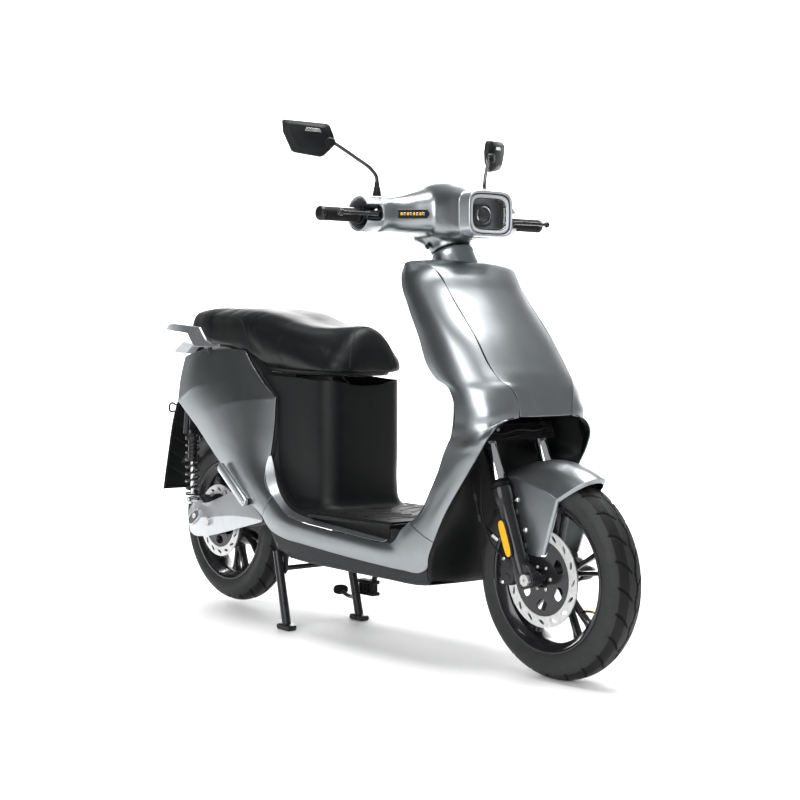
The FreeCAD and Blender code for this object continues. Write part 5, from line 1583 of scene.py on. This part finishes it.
def footpeg(side, name):
    """Folded passenger peg, a flat bar with a bright outer face."""
    x, y, z = -1000, 180, 333
    tx, tz = -1120, 424
    length = math.hypot(tx - x, tz - z)
    ux, uz = (tx - x) / length, (tz - z) / length
    rows = []
    for s, half, thick in ((-8, 6, 5), (-4, 11, 7), (8, 13, 7), (length - 8, 13, 7), (length - 1, 9, 6)):
        cx, cz = x + ux * s, z + uz * s
        ring = []
        for u, v in superellipse(half, thick, 4, 20):
            ring.append((cx - uz * u, side * (y + v), cz + ux * u))
        rows.append(ring)
    body = f"footpeg_{name}"
    loft(f"footpeg_{name}_bar", rows, BRIGHT, body, 0.6, 35)
    bolt(f"footpeg_{name}_bolt", (x, side * 187, z), (0, side * 10, 0), 5, ZINC, body)


# ---- what the detailed pieces stand in for ----
STANDS_FOR = (
    ("shield_centre", "front_shield"), ("floor_band_left", "side_fairings"),
    ("inner_leg_shield_skin", "inner_leg_shield"), ("front_tunnel_skin", "front_tunnel"),
    ("belly_bottom", "belly_skirt"), ("floor_mat_skin", "floor_mat"), ("seat_box_skin", "seat_box"),
    ("rear_panel_left", "rear_panels"), ("seat_tray", "seat_base"), ("seat_cushion_skin", "seat_cushion"),
    ("fender_crown", "front_fender"), ("front_tyre_skin", "front_tyre"), ("rear_tyre_skin", "rear_tyre"),
    ("front_rim_barrel", "front_rim"), ("rear_rim_barrel", "rear_rim"), ("front_disc_ring", "front_disc"),
    ("rear_disc_ring", "rear_disc"), ("front_caliper_outer", "front_caliper"),
    ("rear_caliper_outer", "rear_caliper"), ("fork_leg_left_shell", "fork_legs"),
    ("fork_reflector_left_lens", "fork_reflectors"), ("brake_hose_skin", "brake_hose"),
    ("headset_skin", "headset_cover"), ("bezel_outer", "headlight_bezel"),
    ("projector_housing", "headlight_unit"), ("headlamp_glass", "front_lamp_lenses"),
    ("dash_display_case", "dash_display"), ("bar_shroud_left", "bar_shrouds"),
    ("pod_left_case", "control_pods"),
    ("lever_left_blade", "brake_lever_left"), ("lever_right_blade", "brake_lever_right"),
    ("grip_left", "left_grip"), ("grip_right", "throttle_grip"), ("mirror_arm_left", "mirror_stem_left"),
    ("mirror_arm_right", "mirror_stem_right"), ("mirror_shell_left", "mirror_head_left"),
    ("mirror_shell_right", "mirror_head_right"), ("grab_rail_skin", "grab_rail"),
    ("tail_lamp_lens", "rear_lights"), ("plate_flap", "rear_mudguard"),
    ("swingarm_cover_left_upper", "swingarm_covers"), ("shock_coil_left", "shock_springs"),
    ("stand_sleeve", "center_stand"), ("footpeg_left_bar", "footpeg_left"),
    ("footpeg_right_bar", "footpeg_right"), ("side_stand_leg", "side_stand"))


def studio():
    """White floor that curves up behind, soft panels of light, and a low camera at the front right."""
    scene.view_settings.view_transform = "Standard"
    mesh = bpy.data.meshes.new("floor")
    profile = [(9, 0)]
    for i in range(13):
        angle = math.radians(90 * i / 12)
        profile.append((-7 - 3 * math.sin(angle), 3 - 3 * math.cos(angle)))
    profile.append((-10, 9))
    turn = Matrix.Rotation(math.radians(-39), 3, "Z")
    verts = [turn @ Vector((x, y, z)) for x, z in profile for y in (-16, 16)]
    faces = [(2 * i, 2 * i + 1, 2 * i + 3, 2 * i + 2) for i in range(len(profile) - 1)]
    mesh.from_pydata(verts, [], faces)
    mesh.shade_smooth()
    floor = bpy.data.objects.new("floor", mesh)
    scene.collection.objects.link(floor)
    mesh.materials.append(material("studio_floor", (0.93, 0.93, 0.93), 0.6, 0, 3, 0.03, 0, 900, 0, 0.004))
    world = bpy.data.worlds.new("studio")
    scene.world = world
    world.use_nodes = True
    sky = world.node_tree.nodes["Background"]
    sky.inputs["Color"].default_value = (0.97, 0.985, 1.0, 1)
    links = world.node_tree.links
    place = world.node_tree.nodes.new("ShaderNodeTexCoord")
    facing = world.node_tree.nodes.new("ShaderNodeVectorMath")
    facing.operation = "DOT_PRODUCT"
    facing.inputs[1].default_value = (-0.76, -0.64, 0.1)
    links.new(place.outputs["Generated"], facing.inputs[0])
    fade = world.node_tree.nodes.new("ShaderNodeMapRange")
    fade.inputs["From Min"].default_value = 0.35
    fade.inputs["From Max"].default_value = 0.95
    fade.inputs["To Min"].default_value = 0.34
    fade.inputs["To Max"].default_value = 0.015
    links.new(facing.outputs["Value"], fade.inputs["Value"])
    links.new(fade.outputs["Result"], sky.inputs["Strength"])
    lights = (("side_panel", (1.3, -3.4, 1.9), (0.1, 0, 0.6), 2.4, 2.6, 115),
              ("top_panel", (0.6, 0.2, 4.0), (0, 0, 0.4), 3.4, 2.0, 230),
              ("rear_panel", (-3.4, 3.0, 2.6), (-0.3, 0, 0.6), 2.0, 2.0, 40),
              ("wall_left", (-3.6, -1.0, 3.6), (-7.4, 4.0, 1.2), 3.0, 3.0, 800),
              ("wall_right", (-1.2, 4.6, 3.6), (-5.0, 7.2, 1.2), 3.0, 3.0, 800))
    for name, place, aim, wide, tall, power in lights:
        data = bpy.data.lights.new(name, "AREA")
        data.shape = "RECTANGLE"
        data.size = wide
        data.size_y = tall
        data.energy = power
        lamp = bpy.data.objects.new(name, data)
        lamp.location = place
        lamp.rotation_euler = (Vector(aim) - Vector(place)).to_track_quat("-Z", "Y").to_euler()
        scene.collection.objects.link(lamp)
    data = bpy.data.cameras.new("camera")
    data.lens = 72.46
    data.sensor_width = 36
    data.shift_y = -0.0028
    data.dof.use_dof = False
    camera = bpy.data.objects.new("camera", data)
    camera.location = (3.2407, -2.5572, 0.7647)
    aim = Vector((0.1016, 0, 0.6191)) - camera.location
    camera.rotation_euler = aim.to_track_quat("-Z", "Y").to_euler()
    scene.collection.objects.link(camera)
    scene.camera = camera


def main():
    """Builds every piece over the CAD model."""
    kept_cad()
    front_shield()
    floor_bands()
    rear_panels()
    leg_shield()
    front_tunnel()
    belly_skirt()
    floor_mat()
    seat_box()
    seat_seams(seat_cushion())
    seat_tray()
    front_fender()
    tyre("front_tyre_skin", (0, TYRE_R), "front_wheel")
    tyre("rear_tyre_skin", REAR_AXLE, "rear_wheel")
    rim("front_rim", (0, TYRE_R), "front_wheel", 5, 31, (-48, 42))
    rim("rear_rim", REAR_AXLE, "rear_wheel", 7, 78, (-48, 48))
    disc("front_disc", (0, TYRE_R), -53, 111, 20, "front_wheel")
    disc("rear_disc", REAR_AXLE, -66.2, 102, 20, "rear_wheel")
    valve("front_valve", (0, TYRE_R), -30, "front_wheel")
    valve("rear_valve", REAR_AXLE, 200, "rear_wheel")
    caliper("front_caliper", (0, TYRE_R), -53, 111, 176, "fork_lower", 16)
    caliper("rear_caliper", REAR_AXLE, -66.2, 102, 20, "swingarm", 9)
    fork()
    headset()
    collar()
    headlamp()
    dash()
    for side, name in SIDES:
        indicator(side, name)
        bar_shroud(side, name)
        control_pod(side, name)
        brake_lever(side, name)
        mirror(side, name)
        swingarm_cover(side, name)
        shock(side, name)
        footpeg(side, name)
    grip(1, "left", "steering")
    grip(-1, "right", "throttle")
    grab_rail()
    rear_lights()
    rear_mudguard()
    centre_stand()
    side_stand()


main()
for piece, node in STANDS_FOR:
    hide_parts(node)
studio()
